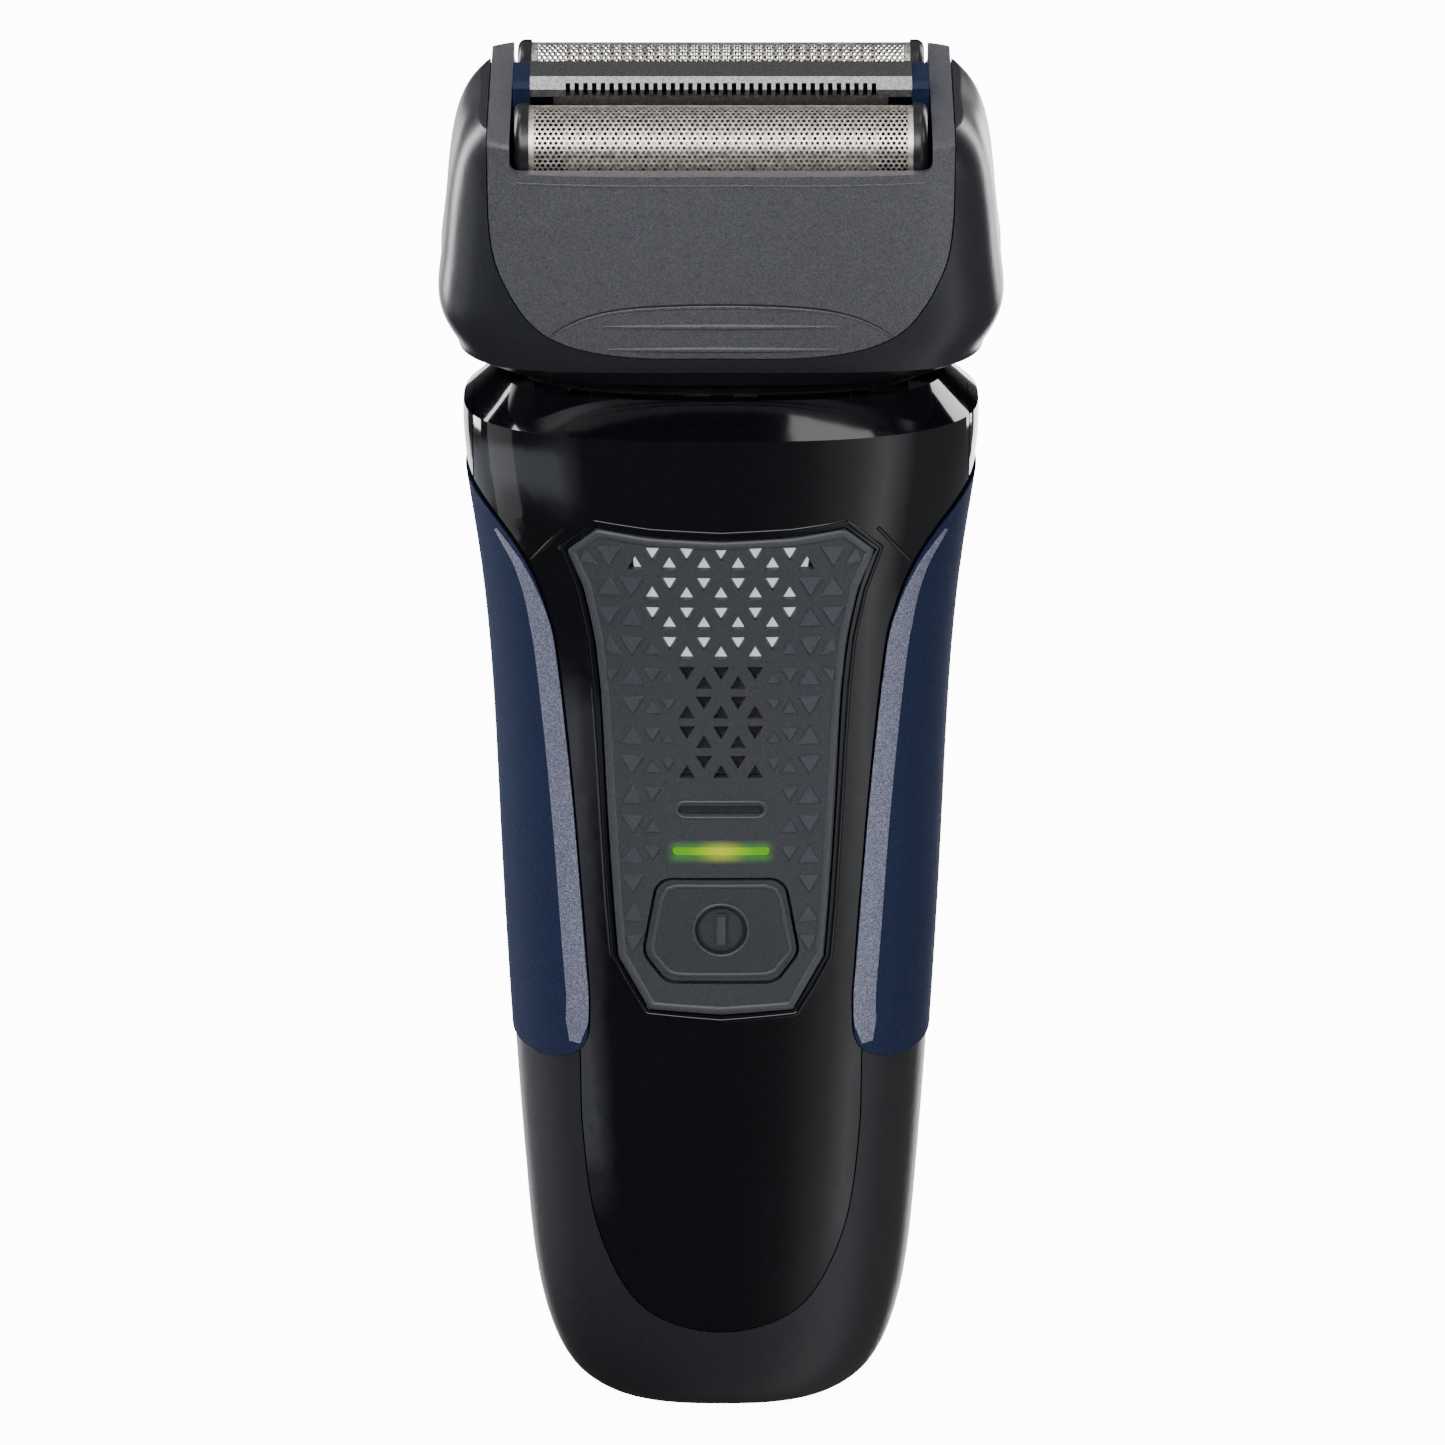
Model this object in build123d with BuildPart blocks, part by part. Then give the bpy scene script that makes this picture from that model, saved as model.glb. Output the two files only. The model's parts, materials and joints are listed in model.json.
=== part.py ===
"""Foil shaver: two floating foils and a slotted trimmer on a pivoting head, on a handle with a motor drive.

Millimetres. +Z up along the handle, the front faces -Y, origin at the centre of the flat base.
Head parts are drawn upright about the head's pivot and then tilted forward with HEAD_POSE.
"""

import math
import os

from build123d import *

os.makedirs("parts", exist_ok=True)

# ---------------------------------------------------------------- driving dimensions
WALL = 2.2  # thickness of the handle shells
GRIP_DEPTH = 1.1  # how far a side grip sits into the shell
GRIP_PROUD = 0.3  # how far a grip stands out of the shell
PAD_DEPTH = 0.9
PAD_PROUD = 0.2
SEAM = 0.15  # gap between neighbouring skins

COLLAR_EDGE_Z = 121.0  # where the handle's side turns into the bevel
DECK_Z = 124.5  # top of the neck deck

PIVOT_Y, PIVOT_Z = 0.5, 127.8  # head pivot axis, along X
HEAD_TILT = 11.0  # forward cant of the head at rest, degrees
HEAD_POSE = Location((0, PIVOT_Y, PIVOT_Z), (HEAD_TILT, 0, 0))

FOIL_RADIUS = 4.1
FOIL_SHEET = 0.2
FOIL_OFFSET = 8.25  # each foil's axis, in front of and behind the head's centre
FOIL_AXIS_H = 28.0  # foil axis above the pivot
FOIL_HALF_LENGTH = 21.2
CAP_HALF_LENGTH = 22.8
WINDOW_HALF = 23.3  # inside half width of the cassette frame
PLATE_TOP_H = 26.9  # top edge of the cassette's front and rear plates
SIDE_TOP_H = 30.2  # top of the cassette's uprights and the cheeks

MOTOR_Y = 1.0
TRIMMER_HINGE_Y, TRIMMER_HINGE_Z = 15.6, 100.6

# Handle sections: height, half width, front depth, back depth
HANDLE_SECTIONS = [
    (0.0, 10.5, 8.5, 8.5),
    (0.9, 14.2, 11.1, 11.1),
    (3.0, 17.2, 12.9, 12.9),
    (7.0, 19.6, 14.3, 14.3),
    (13.0, 21.3, 15.2, 15.3),
    (24.0, 22.6, 15.9, 16.2),
    (45.0, 24.0, 16.2, 16.8),
    (70.0, 25.2, 16.5, 17.2),
    (92.0, 26.2, 17.2, 17.6),
    (104.0, 27.4, 18.2, 18.2),
    (113.0, 28.7, 18.9, 18.8),
    (COLLAR_EDGE_Z, 29.2, 19.2, 19.2),
]
BEVEL_TOP = (25.4, 15.0, 15.0)  # half width, front depth, back depth at the deck

# Head sections above the pivot: height, half width, half depth
HEAD_SECTIONS = [
    (2.7, 29.4, 14.8),
    (6.0, 30.9, 15.3),
    (10.0, 31.5, 15.4),
    (15.0, 30.9, 15.3),
    (21.0, 30.3, 15.1),
]
CASSETTE_TOP = [(26.0, 29.9, 14.8), (SIDE_TOP_H, 29.7, 14.6)]
CHEEK_TOP = [(24.5, 29.7, 14.9), (27.0, 28.9, 14.6), (29.0, 27.7, 14.1), (SIDE_TOP_H, 26.6, 13.6)]
HEAD_CORNER = 5.0  # superellipse power of the head's sections
HEAD_BASE = (25.6, 12.6)


# ---------------------------------------------------------------- shared shapes
def rounded_outline(half_width, front, back, power=2.7, count=16):
    """Points round a superellipse whose front (-Y) and back halves differ in depth.

    They start off centre at the back, so that the seam edge misses the middle and the split line.
    """
    points = []
    for i in range(count):
        angle = 2 * math.pi * (i + 5) / count
        cos_a, sin_a = math.cos(angle), math.sin(angle)
        x = half_width * math.copysign(abs(cos_a) ** (2 / power), cos_a)
        depth = back if sin_a > 0 else front
        y = depth * math.copysign(abs(sin_a) ** (2 / power), sin_a)
        points.append((x, y))
    return points


def section(height, half_width, front, back, power=2.7):
    """A closed smooth face at a height."""
    with BuildSketch(Plane.XY.offset(height)) as face:
        with BuildLine():
            Spline(*rounded_outline(half_width, front, back, power), periodic=True)
        make_face()
    return face.sketch


def handle_envelope(grow, low=0.0):
    """The handle's outer form with every side moved out by grow, from height low up."""
    with BuildPart() as form:
        for z, half_width, front, back in HANDLE_SECTIONS:
            height = low + z * (COLLAR_EDGE_Z - low) / COLLAR_EDGE_Z
            add(section(height, half_width + grow, front + grow, back + grow))
        loft()
    half_width, front, back = BEVEL_TOP
    side = HANDLE_SECTIONS[-1]
    with BuildPart() as bevel:
        add(section(COLLAR_EDGE_Z, side[1] + grow, side[2] + grow, side[3] + grow))
        add(section(DECK_Z + min(grow, 0), half_width + grow, front + grow, back + grow))
        loft()
    return form.part + bevel.part


def head_envelope(top_sections, rim):
    """The head's outer form: a chamfered underside, bulging sides and a rounded rim."""
    with BuildPart() as form:
        for h, half_width, half_depth in HEAD_SECTIONS + top_sections:
            add(section(h, half_width, half_depth, half_depth, HEAD_CORNER))
        loft()
    low = HEAD_SECTIONS[0]
    with BuildPart() as chamfered:
        add(section(0, HEAD_BASE[0], HEAD_BASE[1], HEAD_BASE[1], 4.0))
        add(section(low[0], low[1], low[2], low[2], HEAD_CORNER))
        loft()
    whole = form.part + chamfered.part
    with BuildPart() as eased:
        add(whole)
        fillet(eased.faces().sort_by(Axis.Z)[-1].edges(), rim)
    return eased.part


def front_prism(sketch, front, back):
    """A sketch drawn on the XZ plane, pushed through from y = front to y = back."""
    return extrude(Plane.XZ.offset(-back) * sketch, back - front, mode=Mode.PRIVATE)


def resized(outline, grow):
    """The outline with its edge moved out by grow."""
    return offset(outline, grow, mode=Mode.PRIVATE) if grow else outline


def mirrored_face(half_line):
    """A face on a local XY plane from the right half of its outline."""
    with BuildSketch() as face:
        with BuildLine():
            add(half_line)
            mirror(about=Plane.YZ)
        make_face()
    return face.sketch


def block(x_range, y_range, z_range):
    """An upright box from its limits."""
    with BuildPart() as box:
        centre = tuple((low + high) / 2 for low, high in (x_range, y_range, z_range))
        size = [high - low for low, high in (x_range, y_range, z_range)]
        with Locations(centre):
            Box(*size)
    return box.part


def rod(radius, start, end):
    """A round bar between two points."""
    axis = Vector(*end) - Vector(*start)
    with BuildPart() as bar:
        with BuildSketch(Plane(origin=start, z_dir=axis)):
            Circle(radius)
        extrude(amount=axis.length)
    return bar.part


def save(part, label, place=Location()):
    """Labels one node and writes its STEP file."""
    placed = place * part
    placed.label = label
    export_step(placed, f"parts/{label}.step")
    print(f"{label:24s} solids {len(placed.solids()):3d} volume {placed.volume:10.2f}")
    return placed


# ---------------------------------------------------------------- outlines seen from the front
def shifted(points, grow):
    """Points of a counter-clockwise outline moved out by grow. A point at x = 0 stays there."""
    moved = []
    for i, (x, y) in enumerate(points):
        before = points[max(i - 1, 0)]
        after = points[min(i + 1, len(points) - 1)]
        run, rise = after[0] - before[0], after[1] - before[1]
        length = math.hypot(run, rise)
        if x == 0:
            moved.append((0, y - grow if i == 0 else y + grow))
        else:
            moved.append((x + grow * rise / length, y - grow * run / length))
    return moved


def grip_outline(grow=0.0):
    """The right-hand grip: a blade-shaped top, a long straight inner edge and a rounded foot."""
    points = shifted(
        [
            (31.5, 116.5), (28.2, 112.4), (24.4, 108.6), (21.3, 104.0), (19.4, 98.6), (18.4, 92.0),
            (16.9, 76.0), (15.2, 52.0), (16.3, 46.6), (21.0, 44.9), (31.5, 46.4),
        ],
        grow,
    )
    with BuildSketch() as face:
        with BuildLine():
            top = Spline(*points[:6])
            inner = Spline(*points[5:8], tangents=[top % 1, (-0.03, -1)])
            foot = Spline(*points[7:10], tangents=[inner % 1, (1, -0.12)])
            Polyline(foot @ 1, points[10], points[0])
        make_face()
    return face.sketch


def front_shell_outline(grow=0.0):
    """Full width at the collar, narrowing under the grips, and a deep U at the bottom."""
    points = shifted(
        [
            (0, 11.7), (4.8, 12.5), (8.8, 14.6), (12.7, 20.4), (15.0, 28.2), (15.9, 36.9), (16.1, 46.0),
            (20.2, 96.0), (22.6, 103.0), (27.9, 112.0), (27.9, 128.0), (0, 128.0),
        ],
        grow,
    )
    with BuildLine() as half:
        bowl = Spline(*points[:7], tangents=[(1, 0), (0.01, 1)])
        flank = Line(bowl @ 1, points[7])
        shoulder = Spline(*points[7:10], tangents=[flank % 1, (0.75, 0.66)])
        Polyline(shoulder @ 1, points[10], points[11])
    return mirrored_face(half.line)


def pad_outline(grow=0.0):
    """The rubber pad: wide chamfered shoulders, concave sides and clipped bottom corners."""
    points = shifted(
        [
            (0, 51.7), (8.2, 52.3), (11.7, 58.6), (13.2, 84.0), (14.2, 97.2), (17.2, 107.6), (13.9, 110.4),
            (0, 109.2),
        ],
        grow,
    )
    with BuildLine() as half:
        clip = Polyline(*points[:3])
        side = Spline(*points[2:6], tangents=[(0.08, 1), (0.5, 0.85)])
        corner = Line(side @ 1, points[6])
        Spline(corner @ 1, points[7], tangents=[(-1, -0.16), (-1, 0)])
    return mirrored_face(half.line)


def button_outline(inset=0.0):
    """A trapezoid with round shoulders and clipped lower corners."""
    with BuildSketch() as face:
        with BuildLine():
            Polyline(
                (-7.1, 68.1), (7.1, 68.1), (8.7, 59.2), (6.2, 55.8), (-6.2, 55.8), (-8.7, 59.2), close=True
            )
        make_face()
        fillet(face.vertices().group_by(Axis.Y)[-1], 2.0)
        fillet(face.vertices().filter_by_position(Axis.Y, 55, 60), 2.2)
    return resized(face.sketch, -inset)


def bar_outline(height, half_length, thickness):
    """A round-ended slot centred on the handle."""
    with BuildSketch() as face:
        with Locations((0, height)):
            SlotOverall(2 * half_length, thickness)
    return face.sketch


def display_outline(inset=0.0):
    """The tapered window under the triangle display."""
    with BuildSketch() as face:
        with BuildLine():
            Polyline((-10.2, 108.4), (10.2, 108.4), (6.2, 80.6), (-6.2, 80.6), close=True)
        make_face()
        fillet(face.vertices(), 1.2)
    return resized(face.sketch, -inset)


LATTICE_SIDE = 3.85  # triangle pitch along a row
LATTICE_ROW = 3.6  # row height
LATTICE_TOP = 108.4
# Rows from the top: x of the triangles that point down, then up, in half pitches
DISPLAY_ROWS = [
    ((-4, -2, 0, 2, 4), (-5, -3, -1, 1, 3, 5)),
    ((-3, -1, 1, 3), (-4, -2, 0, 2, 4)),
    ((-4, -2, 0, 2, 4), (-3, -1, 1, 3)),
    ((-3, -1, 1, 3), (-2, 0, 2)),
    ((-2, 0, 2), (-1, 1)),
    ((-1, 1), (-2, 0, 2)),
    ((-2, 0, 2), (-1, 1)),
    ((-1, 1), (-2, 0, 2)),
]


def display_holes():
    """Small triangles on the lattice, pointing down and up in turn."""
    size = 1.05  # centre to corner
    with BuildSketch() as face:
        for row, (down, up) in enumerate(DISPLAY_ROWS):
            top = LATTICE_TOP - row * LATTICE_ROW
            with Locations(*[(i * LATTICE_SIDE / 2, top - 0.5) for i in down]):
                RegularPolygon(size, 3, rotation=-90)
            with Locations(*[(i * LATTICE_SIDE / 2, top - 2.1) for i in up]):
                RegularPolygon(size, 3, rotation=90)
    return face.sketch


# ---------------------------------------------------------------- handle skins
OUTER = handle_envelope(0)
INNER = handle_envelope(-WALL, low=WALL)
PROUD = handle_envelope(GRIP_PROUD)
GRIP_FLOOR = handle_envelope(-GRIP_DEPTH)
GRIP_BAND = PROUD - GRIP_FLOOR
PAD_FLOOR = handle_envelope(-PAD_DEPTH)
PAD_TOP = handle_envelope(PAD_PROUD)

DEEP = 40.0  # past the handle on either side
GRIP_RIGHT = front_prism(grip_outline(), -DEEP, DEEP)
FRONT_REGION = front_prism(front_shell_outline(), -DEEP, 0)
FRONT_KEEP_OUT = front_prism(front_shell_outline(SEAM), -DEEP, 0)

COLLAR_LOW_Z = 111.6

# rear trimmer bay, cut into the back
BAY_HALF = 13.4
BAY_FLOOR_Y = 12.8
with BuildPart() as trimmer_bay_cut:
    add(block((-BAY_HALF, BAY_HALF), (BAY_FLOOR_Y, DEEP), (TRIMMER_HINGE_Z, DECK_Z + 5)))
    with BuildSketch(Plane.YZ.offset(-BAY_HALF)):
        with Locations((TRIMMER_HINGE_Y, TRIMMER_HINGE_Z)):
            Circle(2.8)
        with Locations((TRIMMER_HINGE_Y + 5, TRIMMER_HINGE_Z - 1.4)):
            Rectangle(10, 2.8)
    extrude(amount=2 * BAY_HALF)
TRIMMER_BAY = trimmer_bay_cut.part

SWITCH_LOW, SWITCH_HIGH, SWITCH_TRAVEL = 75.5, 87.0, 6.0
SWITCH_HALF = 6.0
SWITCH_RECESS = block(
    (-SWITCH_HALF - 0.3, SWITCH_HALF + 0.3), (15.9, DEEP), (SWITCH_LOW - 0.3, SWITCH_HIGH + SWITCH_TRAVEL + 0.3)
)
SWITCH_SLOT = block((-1.6, 1.6), (10, DEEP), (SWITCH_LOW + 3.5, SWITCH_HIGH + SWITCH_TRAVEL - 3.5))

with BuildPart() as socket_cut:
    with BuildSketch(Plane.XY.offset(-1)):
        SlotOverall(9.6, 6.2)
    extrude(amount=12)
SOCKET_HOLE = socket_cut.part

DECK_OPENING = extrude(section(DECK_Z - 4, 22.9, 12.5, 11.0), 8)
GRIP_POCKET = GRIP_BAND & front_prism(grip_outline(SEAM), -DEEP, DEEP)
BAY_LIMIT = handle_envelope(-WALL - 0.1, low=WALL)
SHELL = OUTER - INNER - DECK_OPENING - GRIP_POCKET - mirror(GRIP_POCKET, about=Plane.YZ)
PILLAR_SPOTS = [(x, z) for x in (-9.0, 9.0) for z in (24.0, 70.0)]


# rear_shell: satin back and lower body, with the floor, the screw pillars and the trimmer bay wall
with BuildPart() as rear_shell:
    add(SHELL - FRONT_KEEP_OUT)
    add(block((-40, 40), (-DEEP, DEEP), (COLLAR_LOW_Z, 140)), mode=Mode.SUBTRACT)
    add(block((-BAY_HALF - 1.3, BAY_HALF + 1.3), (BAY_FLOOR_Y - 1.4, 20), (96.4, COLLAR_LOW_Z)) & GRIP_FLOOR)
    add(block((-BAY_HALF - 1.3, BAY_HALF + 1.3), (BAY_FLOOR_Y - 1.4, 20), (COLLAR_LOW_Z - 1, 120.5)) & BAY_LIMIT)
    for x, z in PILLAR_SPOTS:
        add(rod(2.6, (x, 10.3, z), (x, 15.2, z)) & GRIP_FLOOR)
    add(TRIMMER_BAY, mode=Mode.SUBTRACT)
    add(SWITCH_RECESS, mode=Mode.SUBTRACT)
    add(SWITCH_SLOT, mode=Mode.SUBTRACT)
    add(SOCKET_HOLE, mode=Mode.SUBTRACT)
    for x, z in PILLAR_SPOTS:
        add(rod(0.9, (x, 9, z), (x, 14.0, z)), mode=Mode.SUBTRACT)
    add(rod(1.05, (-BAY_HALF - 1.4, TRIMMER_HINGE_Y, TRIMMER_HINGE_Z),
            (BAY_HALF + 1.4, TRIMMER_HINGE_Y, TRIMMER_HINGE_Z)), mode=Mode.SUBTRACT)
save(rear_shell.part, "rear_shell")

# front_shell: glossy front with its pad recess, display window, lamp slots and button hole
with BuildPart() as front_shell:
    add(SHELL & FRONT_REGION)
    add((OUTER - PAD_FLOOR) & front_prism(pad_outline(0.25), -DEEP, 0), mode=Mode.SUBTRACT)
    for outline in (
        display_outline(),
        button_outline(-0.15),
        bar_outline(71.6, 5.7, 1.3),
        bar_outline(76.7, 4.9, 1.2),
    ):
        add(front_prism(outline, -DEEP, 0), mode=Mode.SUBTRACT)
save(front_shell.part, "front_shell")

# collar: glossy sides and back of the neck, above the grips
with BuildPart() as collar:
    add(SHELL - FRONT_KEEP_OUT)
    add(block((-40, 40), (-DEEP, DEEP), (COLLAR_LOW_Z + SEAM, 140)), mode=Mode.INTERSECT)
    add(TRIMMER_BAY, mode=Mode.SUBTRACT)
save(collar.part, "collar")

# side grips
grip = GRIP_BAND & GRIP_RIGHT
save(grip, "right_grip")
save(mirror(grip, about=Plane.YZ), "left_grip")

# texture pad with the display's triangular holes
with BuildPart() as texture_pad:
    add((PAD_TOP - PAD_FLOOR) & front_prism(pad_outline(), -DEEP, 0))
    for outline in (
        display_holes(),
        button_outline(-0.35),
        bar_outline(71.6, 5.6, 1.1),
        bar_outline(76.7, 4.8, 1.0),
    ):
        add(front_prism(outline, -DEEP, 0), mode=Mode.SUBTRACT)
save(texture_pad.part, "texture_pad")

# translucent pieces under the pad, each filling its opening in the front shell
UNDER_PAD = PAD_FLOOR - handle_envelope(-WALL + 0.1, low=WALL)
display_lightguide = UNDER_PAD & front_prism(display_outline(0.1), -DEEP, 0)
save(display_lightguide, "display_lightguide")
LENS_BAND = handle_envelope(-0.1) - handle_envelope(-WALL + 0.1, low=WALL)
charge_lens = LENS_BAND & front_prism(bar_outline(71.6, 5.5, 1.0), -DEEP, 0)
save(charge_lens, "charge_lens")
signal_lens = LENS_BAND & front_prism(bar_outline(76.7, 4.7, 0.9), -DEEP, 0)
save(signal_lens, "signal_lens")

# power button with its recessed ring and bar
BUTTON_Z = 62.0
with BuildPart() as power_button:
    add((handle_envelope(0.1) - handle_envelope(-WALL - 0.1, low=WALL)) & front_prism(button_outline(), -DEEP, 0))
    with BuildSketch() as ring:
        with Locations((0, BUTTON_Z)):
            Circle(2.95)
            Rectangle(1.2, 4.0, mode=Mode.SUBTRACT)
    add((handle_envelope(0.3) - handle_envelope(-0.45)) & front_prism(ring.sketch, -DEEP, 0), mode=Mode.SUBTRACT)
    add(rod(1.4, (0, -14.6, BUTTON_Z), (0, -13.75, BUTTON_Z)))
save(power_button.part, "power_button")

# ---------------------------------------------------------------- handle inside
# neck plate: closes the top and carries the two pivot ears
EAR_LOW, EAR_HIGH = 14.8, 17.1
PIN_RADIUS = 1.2
with BuildPart() as neck_plate:
    add(INNER & block((-40, 40), (-DEEP, BAY_FLOOR_Y - 1.6), (DECK_Z - WALL - 1.6, DECK_Z - WALL)))
    extrude(section(DECK_Z - WALL, 22.8, 12.4, 10.9), WALL)
    for side in (-1, 1):
        x_range = sorted((side * EAR_LOW, side * EAR_HIGH))
        add(block(x_range, (PIVOT_Y - 2.6, PIVOT_Y + 2.6), (DECK_Z - 0.5, PIVOT_Z)))
        add(rod(2.6, (x_range[0], PIVOT_Y, PIVOT_Z), (x_range[1], PIVOT_Y, PIVOT_Z)))
    add(block((-3.6, 3.6), (PIVOT_Y - 2.6, PIVOT_Y + 2.6), (115, 140)), mode=Mode.SUBTRACT)
    add(rod(PIN_RADIUS, (-20, PIVOT_Y, PIVOT_Z), (20, PIVOT_Y, PIVOT_Z)), mode=Mode.SUBTRACT)
save(neck_plate.part, "neck_plate")

# two pivot pins, pressed into the ears and running in the head's bosses
with BuildPart() as pivot_pins:
    for side in (-1, 1):
        add(rod(PIN_RADIUS, (side * EAR_LOW, PIVOT_Y, PIVOT_Z), (side * 20.4, PIVOT_Y, PIVOT_Z)))
save(pivot_pins.part, "pivot_pins")

# rubber seal around the drive stud
with BuildPart() as neck_seal:
    with BuildSketch(Plane.XY.offset(DECK_Z)):
        with Locations((0, PIVOT_Y)):
            SlotOverall(29, 13)
    extrude(amount=1.2, taper=20)
    with BuildSketch(Plane.XY.offset(DECK_Z + 1.2)):
        with Locations((0, PIVOT_Y)):
            SlotOverall(26, 10)
    extrude(amount=1.2, taper=20)
    with BuildSketch(Plane.XY.offset(DECK_Z)):
        with Locations((0, PIVOT_Y)):
            RectangleRounded(6.2, 4.4, 1.0)
    extrude(amount=3, mode=Mode.SUBTRACT)
save(neck_seal.part, "neck_seal")

# chassis: back plate with a motor shelf and battery stops
MOTOR_LOW, MOTOR_HIGH = 76.0, 107.0
BATTERY_LOW, BATTERY_HIGH, BATTERY_RADIUS = 19.0, 69.0, 7.1
with BuildPart() as chassis:
    add(block((-11, 11), (8.8, 10.2), (15, 110)))
    add(block((-11, 11), (-8, 8.9), (MOTOR_HIGH, MOTOR_HIGH + 1.6)))
    add(block((-11, 11), (-7, 8.9), (73.2, 74.8)))
    add(block((-8, 8), (-5, 8.9), (15, 16.6)))
    add(rod(3.1, (0, MOTOR_Y, MOTOR_HIGH - 1), (0, MOTOR_Y, MOTOR_HIGH + 3)), mode=Mode.SUBTRACT)
    for x, z in PILLAR_SPOTS:
        add(rod(1.15, (x, 8, z), (x, 11, z)), mode=Mode.SUBTRACT)
save(chassis.part, "chassis")

# screws from the chassis into the rear shell's pillars
with BuildPart() as case_screws:
    for x, z in PILLAR_SPOTS:
        with BuildSketch(Plane(origin=(x, 7.7, z), z_dir=(0, 1, 0))):
            Circle(2.0)
            RegularPolygon(1.0, 6, mode=Mode.SUBTRACT)
        extrude(amount=1.1)
        add(rod(0.88, (x, 8.2, z), (x, 13.6, z)))
save(case_screws.part, "case_screws")

# battery cell and its nickel tabs
with BuildPart() as battery:
    add(rod(BATTERY_RADIUS, (0, MOTOR_Y + 0.2, BATTERY_LOW), (0, MOTOR_Y + 0.2, BATTERY_HIGH)))
    fillet(battery.edges().filter_by(GeomType.CIRCLE), 0.6)
    add(rod(2.7, (0, MOTOR_Y + 0.2, BATTERY_HIGH), (0, MOTOR_Y + 0.2, BATTERY_HIGH + 0.9)))
save(battery.part, "battery_cell")

with BuildPart() as battery_tabs:
    add(block((-2, 2), (-9.0, 3), (BATTERY_HIGH + 0.9, BATTERY_HIGH + 1.1)))
    add(block((-2, 2), (-9.0, 3), (BATTERY_LOW - 0.2, BATTERY_LOW)))
save(battery_tabs.part, "battery_tabs")

# motor: flattened can, end bell, shaft
with BuildPart() as motor_can:
    add(rod(10.0, (0, MOTOR_Y, MOTOR_LOW + 3), (0, MOTOR_Y, MOTOR_HIGH)))
    add(block((-10, 10), (MOTOR_Y - 7.5, MOTOR_Y + 7.5), (MOTOR_LOW, MOTOR_HIGH)), mode=Mode.INTERSECT)
    add(rod(2.9, (0, MOTOR_Y, MOTOR_HIGH), (0, MOTOR_Y, MOTOR_HIGH + 1.5)))
    add(rod(1.05, (0, MOTOR_Y, MOTOR_HIGH - 12), (0, MOTOR_Y, MOTOR_HIGH + 2)), mode=Mode.SUBTRACT)
save(motor_can.part, "motor_can")
with BuildPart() as motor_endbell:
    add(rod(9.6, (0, MOTOR_Y, MOTOR_LOW), (0, MOTOR_Y, MOTOR_LOW + 3)))
    add(block((-10, 10), (MOTOR_Y - 7.2, MOTOR_Y + 7.2), (0, 200)), mode=Mode.INTERSECT)
save(motor_endbell.part, "motor_endbell")
ECCENTRIC_LOW = 110.2
with BuildPart() as motor_shaft:
    add(rod(1.0, (0, MOTOR_Y, MOTOR_HIGH - 11), (0, MOTOR_Y, ECCENTRIC_LOW + 2.6)))
save(motor_shaft.part, "motor_shaft")

# eccentric: hub pressed on the shaft, with an offset pin
STROKE = 1.1  # how far the drive swings to each side
with BuildPart() as eccentric:
    add(rod(4.0, (0, MOTOR_Y, ECCENTRIC_LOW), (0, MOTOR_Y, ECCENTRIC_LOW + 3.2)))
    fillet(eccentric.edges().filter_by(GeomType.CIRCLE), 0.4)
    add(rod(1.0, (0, MOTOR_Y, ECCENTRIC_LOW - 1), (0, MOTOR_Y, ECCENTRIC_LOW + 2.6)), mode=Mode.SUBTRACT)
    add(rod(0.9, (STROKE, MOTOR_Y, ECCENTRIC_LOW + 2.9), (STROKE, MOTOR_Y, ECCENTRIC_LOW + 6.4)))
save(eccentric.part, "eccentric")

# drive bridge: slotted plate swung by the eccentric, with the stud that reaches into the head
BRIDGE_LOW = 114.4
STUD_TOP = PIVOT_Z + 3.0
with BuildPart() as drive_bridge:
    add(block((-10, 10), (MOTOR_Y - 5, MOTOR_Y + 5), (BRIDGE_LOW, BRIDGE_LOW + 2.2)))
    add(block((-3.3, 3.3), (MOTOR_Y - 2.3, MOTOR_Y + 2.3), (BRIDGE_LOW - 1, BRIDGE_LOW + 3)), mode=Mode.SUBTRACT)
    for side in (-1, 1):
        x_range = sorted((side * 3.5, side * 5.2))
        add(block(x_range, (PIVOT_Y - 1.8, PIVOT_Y + 1.8), (BRIDGE_LOW + 2.1, BRIDGE_LOW + 4.4)))
    add(block((-5.2, 5.2), (PIVOT_Y - 1.8, PIVOT_Y + 1.8), (BRIDGE_LOW + 4.2, BRIDGE_LOW + 5.6)))
    with BuildSketch(Plane.XY.offset(BRIDGE_LOW + 5.5)):
        with Locations((0, PIVOT_Y)):
            RectangleRounded(3.2, 3.2, 0.7)
    extrude(amount=STUD_TOP - BRIDGE_LOW - 5.5)
save(drive_bridge.part, "drive_bridge")

# guide rails on the motor shelf, one in front of the bridge and one behind it
with BuildPart() as bridge_guides:
    for y_range in ((MOTOR_Y - 6.5, MOTOR_Y - 5.05), (MOTOR_Y + 5.05, MOTOR_Y + 6.5)):
        add(block((-9, 9), y_range, (MOTOR_HIGH + 1.6, BRIDGE_LOW + 2.6)))
        add(block((-6, 6), y_range, (MOTOR_HIGH + 3.0, BRIDGE_LOW - 1.2)), mode=Mode.SUBTRACT)
save(bridge_guides.part, "bridge_guides")

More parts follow.
